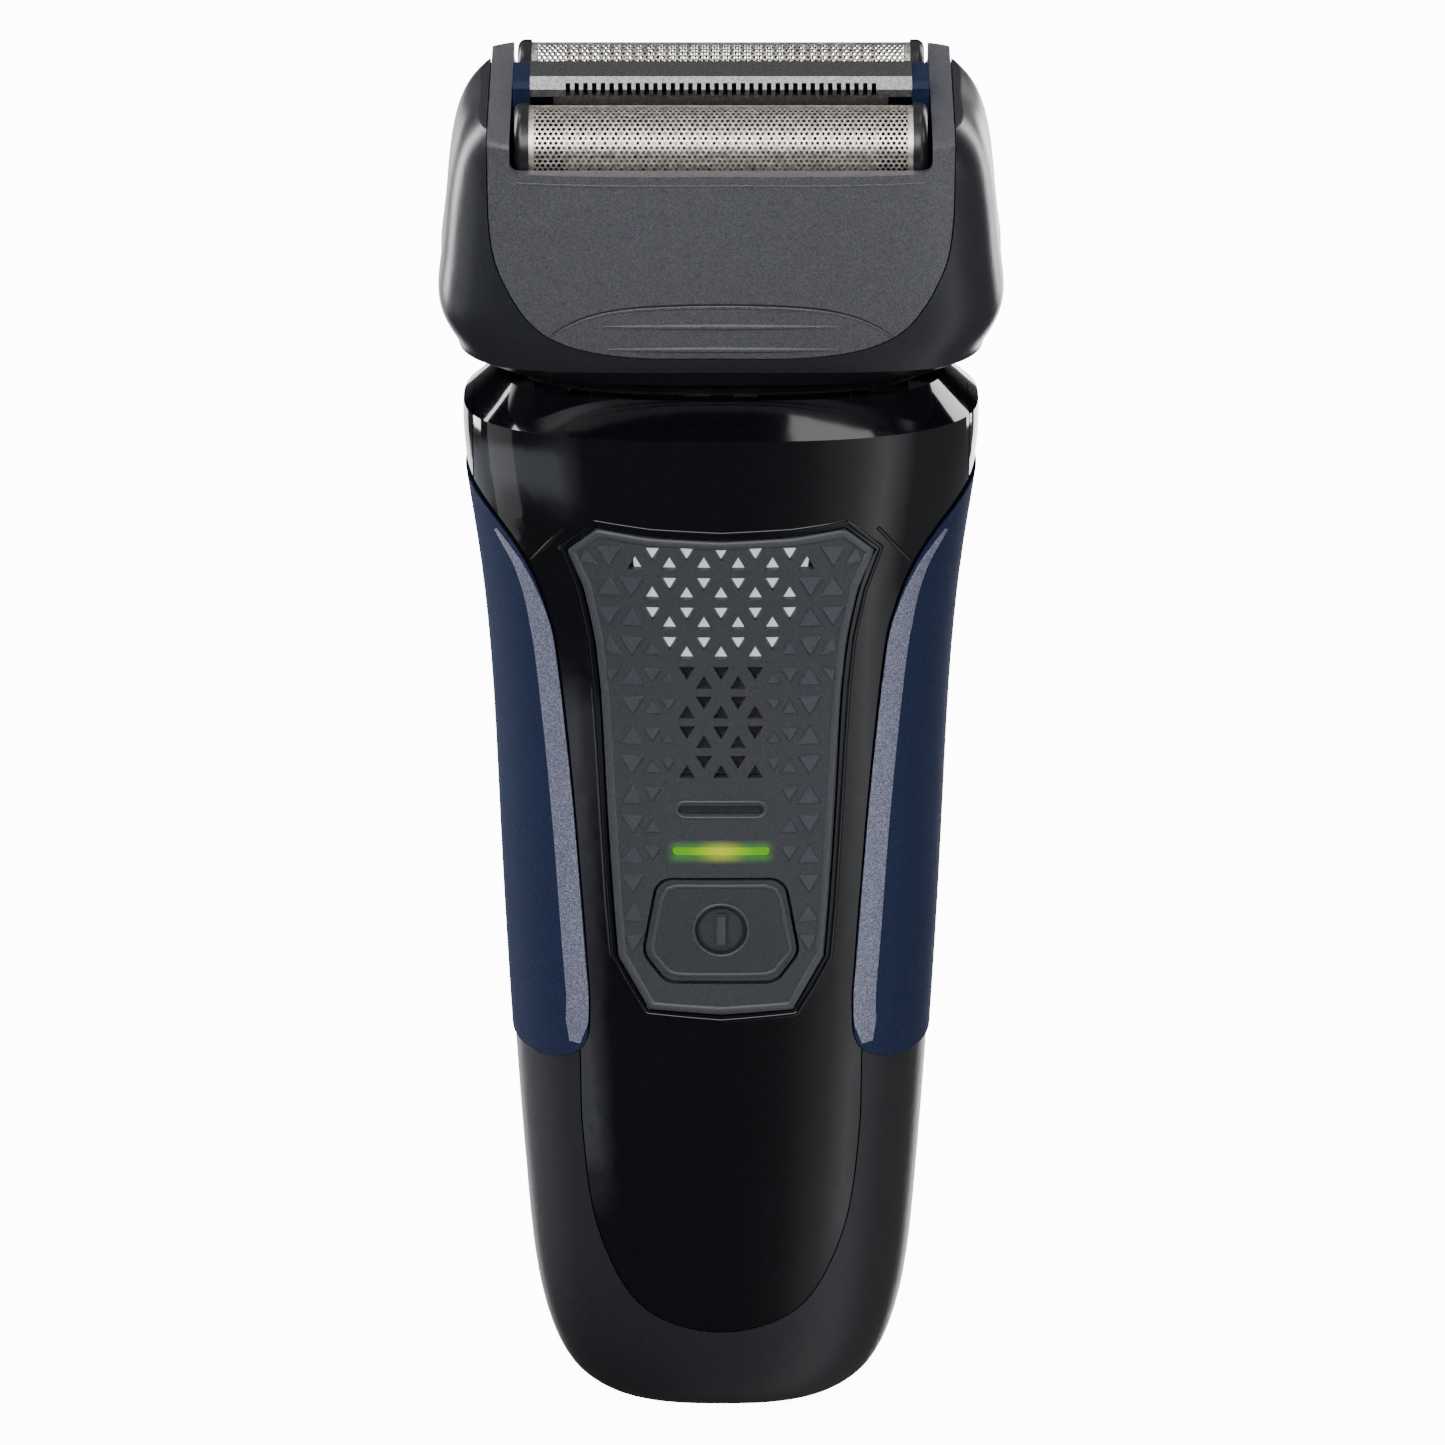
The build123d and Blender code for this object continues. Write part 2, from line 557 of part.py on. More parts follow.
# circuit board behind the front shell, with the parts on it
BOARD_Y = -11.6
with BuildPart() as main_board:
    add(block((-9.5, 9.5), (BOARD_Y, BOARD_Y + 1.2), (47, 106)))
    with BuildSketch(Plane.XZ.offset(-BOARD_Y + 1)):
        with Locations((0, 50), (0, 103.5)):
            Circle(1.2)
    extrude(amount=-4, mode=Mode.SUBTRACT)
save(main_board.part, "main_board")
with BuildPart() as tact_switch:
    add(block((-3, 3), (BOARD_Y - 1.2, BOARD_Y), (BUTTON_Z - 3, BUTTON_Z + 3)))
    add(rod(0.9, (0, BOARD_Y - 1.2, BUTTON_Z), (0, BOARD_Y - 1.45, BUTTON_Z)))
save(tact_switch.part, "tact_switch")
with BuildPart() as lamps:
    for x, z in [(x, z) for z in (97.0, 104.0) for x in (-6.0, 0.0, 6.0)] + [(0, 71.6), (0, 76.7)]:
        add(block((x - 1.0, x + 1.0), (BOARD_Y - 0.9, BOARD_Y), (z - 0.7, z + 0.7)))
save(lamps.part, "board_lamps")
with BuildPart() as board_parts:
    add(block((-3, 3), (BOARD_Y + 1.2, BOARD_Y + 2.4), (82, 88)))
    add(block((-7.5, -4.5), (BOARD_Y + 1.2, BOARD_Y + 3.0), (92, 95)))
    add(block((4, 6.5), (BOARD_Y + 1.2, BOARD_Y + 2.2), (52, 56)))
    add(rod(2.0, (6.0, BOARD_Y + 1.2, 98.0), (6.0, BOARD_Y + 2.9, 98.0)))
save(board_parts.part, "board_components")

# charging socket in the base, with two contact pins
with BuildPart() as charging_socket:
    with BuildSketch(Plane.XY.offset(0.3)):
        SlotOverall(9.4, 6.0)
    extrude(amount=9.0)
    with BuildSketch(Plane.XY.offset(0.3)):
        SlotOverall(7.6, 3.9)
    extrude(amount=6.2, mode=Mode.SUBTRACT)
    for x in (-1.7, 1.7):
        add(rod(0.6, (x, 0, 5), (x, 0, 12)), mode=Mode.SUBTRACT)
save(charging_socket.part, "charging_socket")
with BuildPart() as socket_pins:
    for x in (-1.7, 1.7):
        add(rod(0.6, (x, 0, 1.6), (x, 0, 11.0)))
save(socket_pins.part, "socket_pins")

# ---------------------------------------------------------------- rear pop-up trimmer
ARM_HALF = 13.0
ARM_TOP = 119.4
HINGE_START = (-ARM_HALF, TRIMMER_HINGE_Y, TRIMMER_HINGE_Z)
HINGE_END = (ARM_HALF, TRIMMER_HINGE_Y, TRIMMER_HINGE_Z)
with BuildPart() as trimmer_arm:
    add(block((-ARM_HALF, ARM_HALF), (BAY_FLOOR_Y + 0.2, DEEP), (TRIMMER_HINGE_Z, ARM_TOP)))
    add(OUTER, mode=Mode.INTERSECT)
    add(rod(2.5, HINGE_START, HINGE_END))
    add(block((-12.7, 12.7), (15.55, 17.3), (112.6, ARM_TOP + 1)), mode=Mode.SUBTRACT)
    add(rod(1.05, (-20, TRIMMER_HINGE_Y, TRIMMER_HINGE_Z), (20, TRIMMER_HINGE_Y, TRIMMER_HINGE_Z)),
        mode=Mode.SUBTRACT)
save(trimmer_arm.part, "trimmer_arm")
with BuildPart() as trimmer_pin:
    add(rod(1.0, (-BAY_HALF - 1.3, TRIMMER_HINGE_Y, TRIMMER_HINGE_Z),
            (BAY_HALF + 1.3, TRIMMER_HINGE_Y, TRIMMER_HINGE_Z)))
save(trimmer_pin.part, "trimmer_hinge_pin")


def toothed_plate(half_width, y_range, z_low, root, tip, pitch, tooth):
    """A blade with square teeth along its top edge."""
    with BuildPart() as blade:
        with BuildSketch(Plane.XZ.offset(-y_range[1])):
            with Locations((0, (z_low + root) / 2)):
                Rectangle(2 * half_width, root - z_low)
            with Locations((0, (root + tip) / 2 - 0.1)):
                with GridLocations(pitch, 0, int(2 * half_width / pitch), 1):
                    Rectangle(tooth, tip - root + 0.2)
        extrude(amount=y_range[1] - y_range[0])
    return blade.part


save(toothed_plate(12.5, (16.5, 17.2), 112.8, 119.2, 121.4, 1.0, 0.55), "trimmer_comb")
save(toothed_plate(11.4, (15.7, 16.4), 112.8, 118.9, 121.1, 1.2, 0.6), "trimmer_blade")

with BuildPart() as trimmer_switch:
    with BuildSketch(Plane.XZ.offset(-16.1)):
        with Locations((0, (SWITCH_LOW + SWITCH_HIGH) / 2)):
            RectangleRounded(2 * SWITCH_HALF, SWITCH_HIGH - SWITCH_LOW, 1.8)
    extrude(amount=-2.4)
    chamfer(trimmer_switch.faces().sort_by(Axis.Y)[-1].edges(), 0.5)
    for i in range(4):
        add(block((-4.4, 4.4), (18.1, DEEP), (79.0 + i * 1.6, 79.7 + i * 1.6)), mode=Mode.SUBTRACT)
    add(block((-1.4, 1.4), (12.6, 16.3), (SWITCH_LOW + 3.7, SWITCH_LOW + 7.7)))
save(trimmer_switch.part, "trimmer_switch")

# ---------------------------------------------------------------- head, drawn upright about the pivot
CHEEKS = head_envelope(CHEEK_TOP, 0.6)
CASSETTE_FORM = head_envelope(CASSETTE_TOP, 0.7)


def cassette_outline(grow=0.0):
    """The front plate seen from the front: straight sides closing to a wide shallow bowl."""
    points = shifted([(0, 4.7), (13.4, 5.3), (20.4, 8.2), (24.0, 13.6), (25.7, 22.0), (25.9, 45), (0, 45)], grow)
    with BuildLine() as half:
        bowl = Spline(*points[:5], tangents=[(1, 0), (0.05, 1)])
        Polyline(bowl @ 1, points[5], points[6])
    return mirrored_face(half.line)


CASSETTE_REGION = front_prism(cassette_outline(), -DEEP, DEEP)
CASSETTE_CUT = front_prism(cassette_outline(SEAM), -DEEP, DEEP)
POCKET_HALF_DEPTH = 13.1

# head housing: cheeks, lower lips and floor, with the pivot bosses
with BuildPart() as head_housing:
    add(CHEEKS - CASSETTE_CUT)
    add(block((-22, 22), (-12.4, 12.4), (3.0, 40)), mode=Mode.SUBTRACT)
    add(block((-EAR_HIGH - 0.2, EAR_HIGH + 0.2), (-8, 8), (-5, 4)), mode=Mode.SUBTRACT)
    for side in (-1, 1):
        add(rod(2.7, (side * (EAR_HIGH + 0.2), 0, 0), (side * 21.2, 0, 0)))
        add(rod(PIN_RADIUS + 0.05, (side * 16, 0, 0), (side * 20.5, 0, 0)), mode=Mode.SUBTRACT)
save(head_housing.part, "head_housing", HEAD_POSE)

# head chassis: guide plate for the cutter carriage
with BuildPart() as head_chassis:
    add(block((-20, 20), (-11.4, 11.4), (4.3, 5.8)))
    add(block((-5.6, 5.6), (-4.8, 4.8), (3, 7)), mode=Mode.SUBTRACT)
    for x in (-19, 19):
        for y in (-9.5, 9.5):
            add(rod(1.3, (x, y, 3.0), (x, y, 4.4)))
save(head_chassis.part, "head_chassis", HEAD_POSE)

# cassette frame: front plate, rear plate and two uprights in one moulding
with BuildPart() as foil_cassette:
    add(CASSETTE_FORM & CASSETTE_REGION)
    with BuildSketch(Plane.XY.offset(3)):
        RectangleRounded(2 * WINDOW_HALF, 2 * POCKET_HALF_DEPTH, 0.5)
    extrude(amount=40, mode=Mode.SUBTRACT)
    with BuildSketch() as window:
        with Locations((0, PLATE_TOP_H + 10)):
            RectangleRounded(2 * WINDOW_HALF, 20, 1.1)
    add(front_prism(window.sketch, -DEEP, DEEP), mode=Mode.SUBTRACT)
save(foil_cassette.part, "foil_cassette", HEAD_POSE)


def arch(radius_out, radius_in, low, x_range, y=0.0):
    """An arched channel along X, round at the top and straight down to height low."""
    with BuildPart() as channel:
        with BuildSketch(Plane.YZ.offset(x_range[0])):
            with Locations((y, FOIL_AXIS_H)):
                Circle(radius_out)
            with Locations((y, (FOIL_AXIS_H + low) / 2)):
                Rectangle(2 * radius_out, FOIL_AXIS_H - low)
            if radius_in:
                with Locations((y, FOIL_AXIS_H)):
                    Circle(radius_in, mode=Mode.SUBTRACT)
                with Locations((y, (FOIL_AXIS_H + low) / 2 - 5)):
                    Rectangle(2 * radius_in, FOIL_AXIS_H - low + 10, mode=Mode.SUBTRACT)
        extrude(amount=x_range[1] - x_range[0])
    return channel.part


FOIL_LOW_H = 23.8
CAP_LOW_H = 21.6
for name, y in (("front", -FOIL_OFFSET), ("rear", FOIL_OFFSET)):
    # foil: a thin arched sheet
    foil = arch(FOIL_RADIUS, FOIL_RADIUS - FOIL_SHEET, FOIL_LOW_H, (-FOIL_HALF_LENGTH, FOIL_HALF_LENGTH), y)
    save(foil, f"{name}_foil", HEAD_POSE)

    # foil frame: two end caps joined by rails along the foil's skirts
    with BuildPart() as foil_frame:
        for side in (-1, 1):
            x_range = sorted((side * (FOIL_HALF_LENGTH + 0.02), side * CAP_HALF_LENGTH))
            add(arch(FOIL_RADIUS + 0.3, 0, CAP_LOW_H, x_range, y))
        outer_edges = [
            edge
            for edge in foil_frame.edges().filter_by(GeomType.CIRCLE)
            if abs(abs(edge.center().X) - CAP_HALF_LENGTH) < 0.01
        ]
        fillet(outer_edges, 0.9)
        for rail_y in (y - FOIL_RADIUS - 0.22, y + FOIL_RADIUS + 0.22):
            add(block((-FOIL_HALF_LENGTH - 0.5, FOIL_HALF_LENGTH + 0.5), (rail_y - 0.2, rail_y + 0.2),
                      (CAP_LOW_H, FOIL_LOW_H + 1.0)))
    save(foil_frame.part, f"{name}_foil_frame", HEAD_POSE)

    # cutter: a row of arched blades on a carrier with a blind socket for the drive post
    with BuildPart() as cutter:
        add(arch(FOIL_RADIUS - FOIL_SHEET - 0.12, 2.8, 23.6, (-17.3, 17.3), y))
        with BuildSketch(Plane.XY.offset(24.4)):
            with Locations((0, y)):
                with GridLocations(1.22, 0, 28, 1):
                    Rectangle(0.82, 10)
        extrude(amount=10, mode=Mode.SUBTRACT)
        add(block((-17.3, 17.3), (y - 3.0, y + 3.0), (17.0, 24.4)))
        add(rod(1.7, (0, y, 16), (0, y, 21.4)), mode=Mode.SUBTRACT)
    save(cutter.part, f"{name}_cutter", HEAD_POSE)

# slotted trimmer guard between the foils
GUARD_TOP_H = 33.1
GUARD_TEETH = 36
GUARD_PITCH = 0.97


def guard_profile(inset, low):
    """Half of the guard's section: flat crown, sloped shoulder, straight flank."""
    return [
        (0, GUARD_TOP_H - inset),
        (2.0 - inset * 0.4, GUARD_TOP_H - inset),
        (2.9 - inset, 31.9 - inset * 0.4),
        (2.9 - inset, low),
    ]


def guard_solid(inset, half_length, low):
    """The guard's solid form along X, down to height low."""
    with BuildPart() as form:
        with BuildSketch(Plane.YZ.offset(-half_length)):
            with BuildLine():
                Polyline(*guard_profile(inset, low), (0, low))
                mirror(about=Plane.YZ)
            make_face()
        extrude(amount=2 * half_length)
    return form.part


def tooth_slots(half_gap, low, high, reach):
    """Slots across both shoulders, between the teeth."""
    with BuildPart() as slots:
        with BuildSketch(Plane.XY.offset(low)):
            with GridLocations(GUARD_PITCH, 4 + reach, GUARD_TEETH, 2):
                Rectangle(2 * half_gap, 4 - reach)
        extrude(amount=high - low)
    return slots.part


trimmer_guard = (
    guard_solid(0, FOIL_HALF_LENGTH, 31.0)
    - guard_solid(0.35, FOIL_HALF_LENGTH + 1, 30.0)
    - tooth_slots(0.26, 30.5, 32.5, 1.9)
)
save(trimmer_guard, "trimmer_guard", HEAD_POSE)

with BuildPart() as guard_cutter:
    add(guard_solid(0.45, 18.6, 27.4))
    add(block((-30, 30), (-1.9, 1.9), (26, GUARD_TOP_H - 0.95)), mode=Mode.SUBTRACT)
    add(tooth_slots(0.3, 31.0, 32.7, 1.9), mode=Mode.SUBTRACT)
    add(block((-18.6, 18.6), (-2.35, 2.35), (25.6, 28.2)))
    add(block((-3, 3), (-2.35, 2.35), (19.2, 25.7)))
    add(rod(1.5, (0, 0, 18), (0, 0, 24.4)), mode=Mode.SUBTRACT)
save(guard_cutter.part, "guard_cutter", HEAD_POSE)

with BuildPart() as guard_brackets:
    for side in (-1, 1):
        x_range = sorted((side * (FOIL_HALF_LENGTH + 0.02), side * 23.1))
        add(block(x_range, (-3.1, 3.1), (24.4, 32.7)))
    chamfer(guard_brackets.edges().filter_by(Axis.X).group_by(Axis.Z)[-1], 0.6)
    for y_range in ((-3.3, -2.92), (2.92, 3.3)):
        add(block((-FOIL_HALF_LENGTH - 0.5, FOIL_HALF_LENGTH + 0.5), y_range, (25.0, 28.4)))
save(guard_brackets.part, "guard_brackets", HEAD_POSE)

# cutter carriage: forked foot over the drive stud, cross bar and three drive posts
with BuildPart() as cutter_carriage:
    add(block((-4.2, 4.2), (-4.4, 4.4), (1.0, 6.6)))
    add(block((-4.2, 4.2), (-10.4, 10.4), (6.0, 8.6)))
    add(block((-1.65, 1.65), (-3.2, 3.2), (0, 4.4)), mode=Mode.SUBTRACT)
    for y in (-FOIL_OFFSET, FOIL_OFFSET):
        add(rod(1.6, (0, y, 8.5), (0, y, 19.0)))
    add(rod(1.4, (0, 0, 8.5), (0, 0, 22.0)))
save(cutter_carriage.part, "cutter_carriage", HEAD_POSE)


def coil(radius, wire, low, high, turns):
    """A compression spring along Z."""
    pitch = (high - low - wire * 2) / turns
    path = Helix(pitch, pitch * turns, radius, center=(0, 0, low + wire))
    with BuildPart() as spring:
        with BuildSketch(Plane(origin=path @ 0, z_dir=path % 0)):
            Circle(wire)
        sweep(path=path)
    return spring.part


for name, y, high in (("front", -FOIL_OFFSET, 17.0), ("middle", 0.0, 19.2), ("rear", FOIL_OFFSET, 17.0)):
    spring = Location((0, y, 0)) * coil(2.05, 0.18, 8.65, high - 0.05, 5)
    save(spring, f"{name}_cutter_spring", HEAD_POSE)
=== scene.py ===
"""Looks of the foil shaver: procedural materials, fine surface detail, studio light and camera.

Shapes are worked out in millimetres in the row frame and turned into metres when a mesh is made.
"""

import json
import math

import bpy
import numpy as np
from mathutils import Matrix, Vector
from mathutils.bvhtree import BVHTree


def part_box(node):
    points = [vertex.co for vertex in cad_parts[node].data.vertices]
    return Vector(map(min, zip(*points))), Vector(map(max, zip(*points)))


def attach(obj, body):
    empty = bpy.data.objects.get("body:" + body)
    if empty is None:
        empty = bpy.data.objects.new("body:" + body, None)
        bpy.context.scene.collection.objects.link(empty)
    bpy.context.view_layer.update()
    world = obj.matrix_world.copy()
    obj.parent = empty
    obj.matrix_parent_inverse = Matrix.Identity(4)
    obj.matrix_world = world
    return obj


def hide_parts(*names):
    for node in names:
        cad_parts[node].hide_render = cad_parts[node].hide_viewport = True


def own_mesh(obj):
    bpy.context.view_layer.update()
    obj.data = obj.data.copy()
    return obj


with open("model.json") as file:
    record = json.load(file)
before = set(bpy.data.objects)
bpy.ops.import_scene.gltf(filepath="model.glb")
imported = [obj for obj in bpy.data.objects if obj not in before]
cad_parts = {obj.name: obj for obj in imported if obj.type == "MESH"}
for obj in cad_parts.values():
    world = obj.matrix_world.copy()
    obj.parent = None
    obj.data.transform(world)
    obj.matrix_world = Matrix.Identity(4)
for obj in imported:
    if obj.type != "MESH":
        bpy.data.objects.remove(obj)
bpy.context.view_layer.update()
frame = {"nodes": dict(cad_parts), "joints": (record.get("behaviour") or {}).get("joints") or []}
nodes = frame["nodes"]
MM = 0.001
COAT_ROUGH = 0.03


# ---------------------------------------------------------------- materials
def material(name, color, rough, metal=0.0, specular=0.5, coat=0.0, emit=None, strength=0.0):
    """A Principled material with plain values."""
    made = bpy.data.materials.new(name)
    made.use_nodes = True
    shader = made.node_tree.nodes["Principled BSDF"]
    shader.inputs["Base Color"].default_value = (*color, 1)
    shader.inputs["Roughness"].default_value = rough
    shader.inputs["Metallic"].default_value = metal
    shader.inputs["Specular IOR Level"].default_value = specular
    shader.inputs["Coat Weight"].default_value = coat
    shader.inputs["Coat Roughness"].default_value = COAT_ROUGH
    if emit:
        shader.inputs["Emission Color"].default_value = (*emit, 1)
        shader.inputs["Emission Strength"].default_value = strength
    return made


def grain(made, dark, light, scale, bump=0.0, contrast=(0.35, 0.65), rough=None):
    """Adds a fine speckle to a material's colour, and its bump and roughness if asked."""
    tree = made.node_tree
    shader = tree.nodes["Principled BSDF"]
    where = tree.nodes.new("ShaderNodeTexCoord")
    noise = tree.nodes.new("ShaderNodeTexNoise")
    noise.inputs["Scale"].default_value = scale
    noise.inputs["Detail"].default_value = 2.0
    tree.links.new(where.outputs["Object"], noise.inputs["Vector"])
    ramp = tree.nodes.new("ShaderNodeValToRGB")
    ramp.color_ramp.elements[0].position = contrast[0]
    ramp.color_ramp.elements[1].position = contrast[1]
    ramp.color_ramp.elements[0].color = (*dark, 1)
    ramp.color_ramp.elements[1].color = (*light, 1)
    tree.links.new(noise.outputs["Fac"], ramp.inputs["Fac"])
    tree.links.new(ramp.outputs["Color"], shader.inputs["Base Color"])
    if bump:
        height = tree.nodes.new("ShaderNodeBump")
        height.inputs["Strength"].default_value = bump
        height.inputs["Distance"].default_value = 0.0001
        tree.links.new(noise.outputs["Fac"], height.inputs["Height"])
        tree.links.new(height.outputs["Normal"], shader.inputs["Normal"])
    if rough:
        spread = tree.nodes.new("ShaderNodeMapRange")
        spread.inputs["To Min"].default_value = rough[0]
        spread.inputs["To Max"].default_value = rough[1]
        tree.links.new(noise.outputs["Fac"], spread.inputs["Value"])
        tree.links.new(spread.outputs["Result"], shader.inputs["Roughness"])
    return made


def textured(name, color, rough, metal=0.0, specular=0.5, coat=0.0, vary=0.15, scale=3000, bump=0.05):
    """A material whose colour, roughness and surface vary finely about plain values."""
    made = material(name, color, rough, metal, specular, coat)
    dark, light = ([part * (1 + sign * vary) for part in color] for sign in (-1, 1))
    return grain(made, dark, light, scale, bump, rough=(rough * (1 - vary), rough * (1 + vary)))


gloss_black = textured("gloss_black", (0.003, 0.003, 0.0045), 0.07, scale=900, bump=0.004)
satin_shell = grain(
    material("satin_shell", (0.02, 0.021, 0.024), 0.42),
    (0.008, 0.009, 0.011), (0.012, 0.013, 0.016), 6000, 0.12,
)
navy_grip = grain(
    material("navy_grip", (0.016, 0.024, 0.060), 0.8, specular=0.12),
    (0.010, 0.016, 0.044), (0.017, 0.026, 0.064), 5200, 0.3, rough=(0.75, 0.9),
)
# the facet's lighter colour is a painted highlight for light catching the chamfer; its sparkle speckle is the
# facet's own grain
grip_facet_highlight = grain(
    material("grip_facet_highlight", (0.12, 0.13, 0.19), 0.5, specular=0.6),
    (0.075, 0.082, 0.125), (0.26, 0.27, 0.37), 6500, 0.5, contrast=(0.42, 0.66), rough=(0.35, 0.6),
)
pad_rubber = grain(
    material("pad_rubber", (0.03, 0.034, 0.042), 0.55, specular=0.4),
    (0.024, 0.027, 0.032), (0.035, 0.038, 0.045), 5000, 0.2,
)
pad_edge = grain(
    material("pad_edge", (0.04, 0.044, 0.052), 0.42, specular=0.5),
    (0.036, 0.040, 0.048), (0.050, 0.054, 0.064), 5000, 0.1,
)
button_rubber = grain(
    material("button_rubber", (0.03, 0.034, 0.042), 0.5, specular=0.4),
    (0.022, 0.024, 0.030), (0.031, 0.034, 0.041), 5000, 0.15,
)
head_satin = grain(
    material("head_satin", (0.06, 0.062, 0.074), 0.42),
    (0.042, 0.043, 0.052), (0.084, 0.085, 0.099), 5200, 0.25, rough=(0.36, 0.5),
)
cheek_black = grain(
    material("cheek_black", (0.016, 0.017, 0.022), 0.3, specular=0.4),
    (0.012, 0.013, 0.017), (0.019, 0.020, 0.025), 5200, 0.1, rough=(0.26, 0.36),
)
# near-black strips laid along grooves and the arch's step: painted shade where no recess is cut
painted_groove_shade = textured("painted_groove_shade", (0.004, 0.004, 0.006), 0.5)
cap_black = textured("cap_black", (0.010, 0.010, 0.012), 0.32)
black_plastic = textured("black_plastic", (0.008, 0.008, 0.009), 0.45)
foil_metal = grain(
    material("foil_metal", (0.62, 0.56, 0.49), 0.26, metal=1.0),
    (0.62, 0.565, 0.515), (0.90, 0.84, 0.78), 1500, rough=(0.33, 0.50),
)
guard_metal = textured("guard_metal", (0.25, 0.255, 0.265), 0.24, metal=1.0)
blade_metal = textured("blade_metal", (0.22, 0.21, 0.2), 0.35, metal=1.0)
pin_metal = textured("pin_metal", (0.6, 0.6, 0.6), 0.25, metal=1.0)
brass = textured("brass", (0.72, 0.5, 0.2), 0.25, metal=1.0)
motor_metal = grain(
    material("motor_metal", (0.5, 0.5, 0.5), 0.3, metal=1.0),
    (0.4, 0.4, 0.4), (0.55, 0.55, 0.55), 400,
)
bracket_blue = textured("bracket_blue", (0.004, 0.010, 0.036), 0.45, specular=0.25)
grey_plastic = textured("grey_plastic", (0.05, 0.05, 0.055), 0.5)
ivory_plastic = textured("ivory_plastic", (0.62, 0.60, 0.54), 0.4)
board_green = textured("board_green", (0.015, 0.10, 0.05), 0.35, coat=0.5)
cell_wrap = textured("cell_wrap", (0.02, 0.12, 0.06), 0.25)
lamp_clear = textured("lamp_clear", (0.8, 0.8, 0.7), 0.15)
lens_dark = textured("lens_dark", (0.02, 0.02, 0.024), 0.3)


def axis_value(tree, axis, centre=0.0, signed=False):
    """The distance of a shaded point from a plane across one axis, in millimetres, with its sign if asked."""
    where = tree.nodes.new("ShaderNodeTexCoord")
    parts = tree.nodes.new("ShaderNodeSeparateXYZ")
    tree.links.new(where.outputs["Object"], parts.inputs["Vector"])
    scaled = tree.nodes.new("ShaderNodeMath")
    scaled.operation = "MULTIPLY_ADD"
    scaled.inputs[1].default_value = 1 / MM
    scaled.inputs[2].default_value = -centre
    tree.links.new(parts.outputs[axis], scaled.inputs[0])
    if signed:
        return scaled.outputs[0]
    size = tree.nodes.new("ShaderNodeMath")
    size.operation = "ABSOLUTE"
    tree.links.new(scaled.outputs[0], size.inputs[0])
    return size.outputs[0]


def fade(tree, value, start, end):
    """One at start, falling smoothly to zero at end."""
    ramp = tree.nodes.new("ShaderNodeMapRange")
    ramp.interpolation_type = "SMOOTHSTEP"
    ramp.inputs["From Min"].default_value = start
    ramp.inputs["From Max"].default_value = end
    ramp.inputs["To Min"].default_value = 1.0
    ramp.inputs["To Max"].default_value = 0.0
    tree.links.new(value, ramp.inputs["Value"])
    return ramp.outputs["Result"]


def math_node(tree, operation, first, second):
    """One step of arithmetic on two values, the second of which may be a number."""
    node = tree.nodes.new("ShaderNodeMath")
    node.operation = operation
    tree.links.new(first, node.inputs[0])
    if isinstance(second, float):
        node.inputs[1].default_value = second
    else:
        tree.links.new(second, node.inputs[1])
    return node.outputs[0]


def two_tone(tree, amount, low, high, socket):
    """Feeds a colour socket from low to high as amount goes from zero to one."""
    ramp = tree.nodes.new("ShaderNodeValToRGB")
    ramp.color_ramp.elements[0].color = (*low, 1)
    ramp.color_ramp.elements[1].color = (*high, 1)
    tree.links.new(amount, ramp.inputs["Fac"])
    tree.links.new(ramp.outputs["Color"], socket)


lens_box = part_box("charge_lens")
LENS_Z = (lens_box[0].z + lens_box[1].z) / 2 / MM
LENS_HALF = lens_box[1].x / MM
PAD_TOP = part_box("texture_pad")[1].z / MM
LIT_DEPTH = 15.5  # how far down from the pad's top the display is lit


def lit_lens():
    """The lit charge lens: yellow in the middle and green at the ends."""
    made = material("charge_glow", (0.02, 0.03, 0.01), 0.3, emit=(0.4, 0.9, 0.02), strength=0.8)
    tree = made.node_tree
    shader = tree.nodes["Principled BSDF"]
    middle = fade(tree, axis_value(tree, "X"), 0.0, 4.2)
    two_tone(tree, middle, (0.14, 0.55, 0.0), (0.72, 0.90, 0.0), shader.inputs["Emission Color"])
    return made


def add_spill(made):
    """The charge lens's light on the material round it."""
    tree = made.node_tree
    shader = tree.nodes["Principled BSDF"]
    spill = math_node(
        tree, "MULTIPLY",
        fade(tree, axis_value(tree, "Z", LENS_Z), 0.5, 1.6),
        fade(tree, axis_value(tree, "X"), LENS_HALF - 0.8, LENS_HALF + 0.9),
    )
    tree.links.new(math_node(tree, "MULTIPLY", spill, 0.55), shader.inputs["Emission Strength"])
    middle = fade(tree, axis_value(tree, "X"), 0.0, 3.2)
    two_tone(tree, middle, (0.05, 0.30, 0.01), (0.56, 0.72, 0.0), shader.inputs["Emission Color"])


def lit_display():
    """The display behind the pad's holes: the upper rows lit, the rest dark."""
    made = material("display_glow", (0.03, 0.03, 0.03), 0.4, emit=(0.8, 0.86, 0.8), strength=0.75)
    tree = made.node_tree
    shader = tree.nodes["Principled BSDF"]
    lit = fade(tree, axis_value(tree, "Z", PAD_TOP, signed=True), -LIT_DEPTH, -LIT_DEPTH - 0.7)
    tree.links.new(math_node(tree, "MULTIPLY", lit, 0.8), shader.inputs["Emission Strength"])
    two_tone(tree, lit, (0.016, 0.008, 0.008), (0.30, 0.30, 0.30), shader.inputs["Base Color"])
    return made


charge_glow = lit_lens()
display_glow = lit_display()
add_spill(pad_rubber)

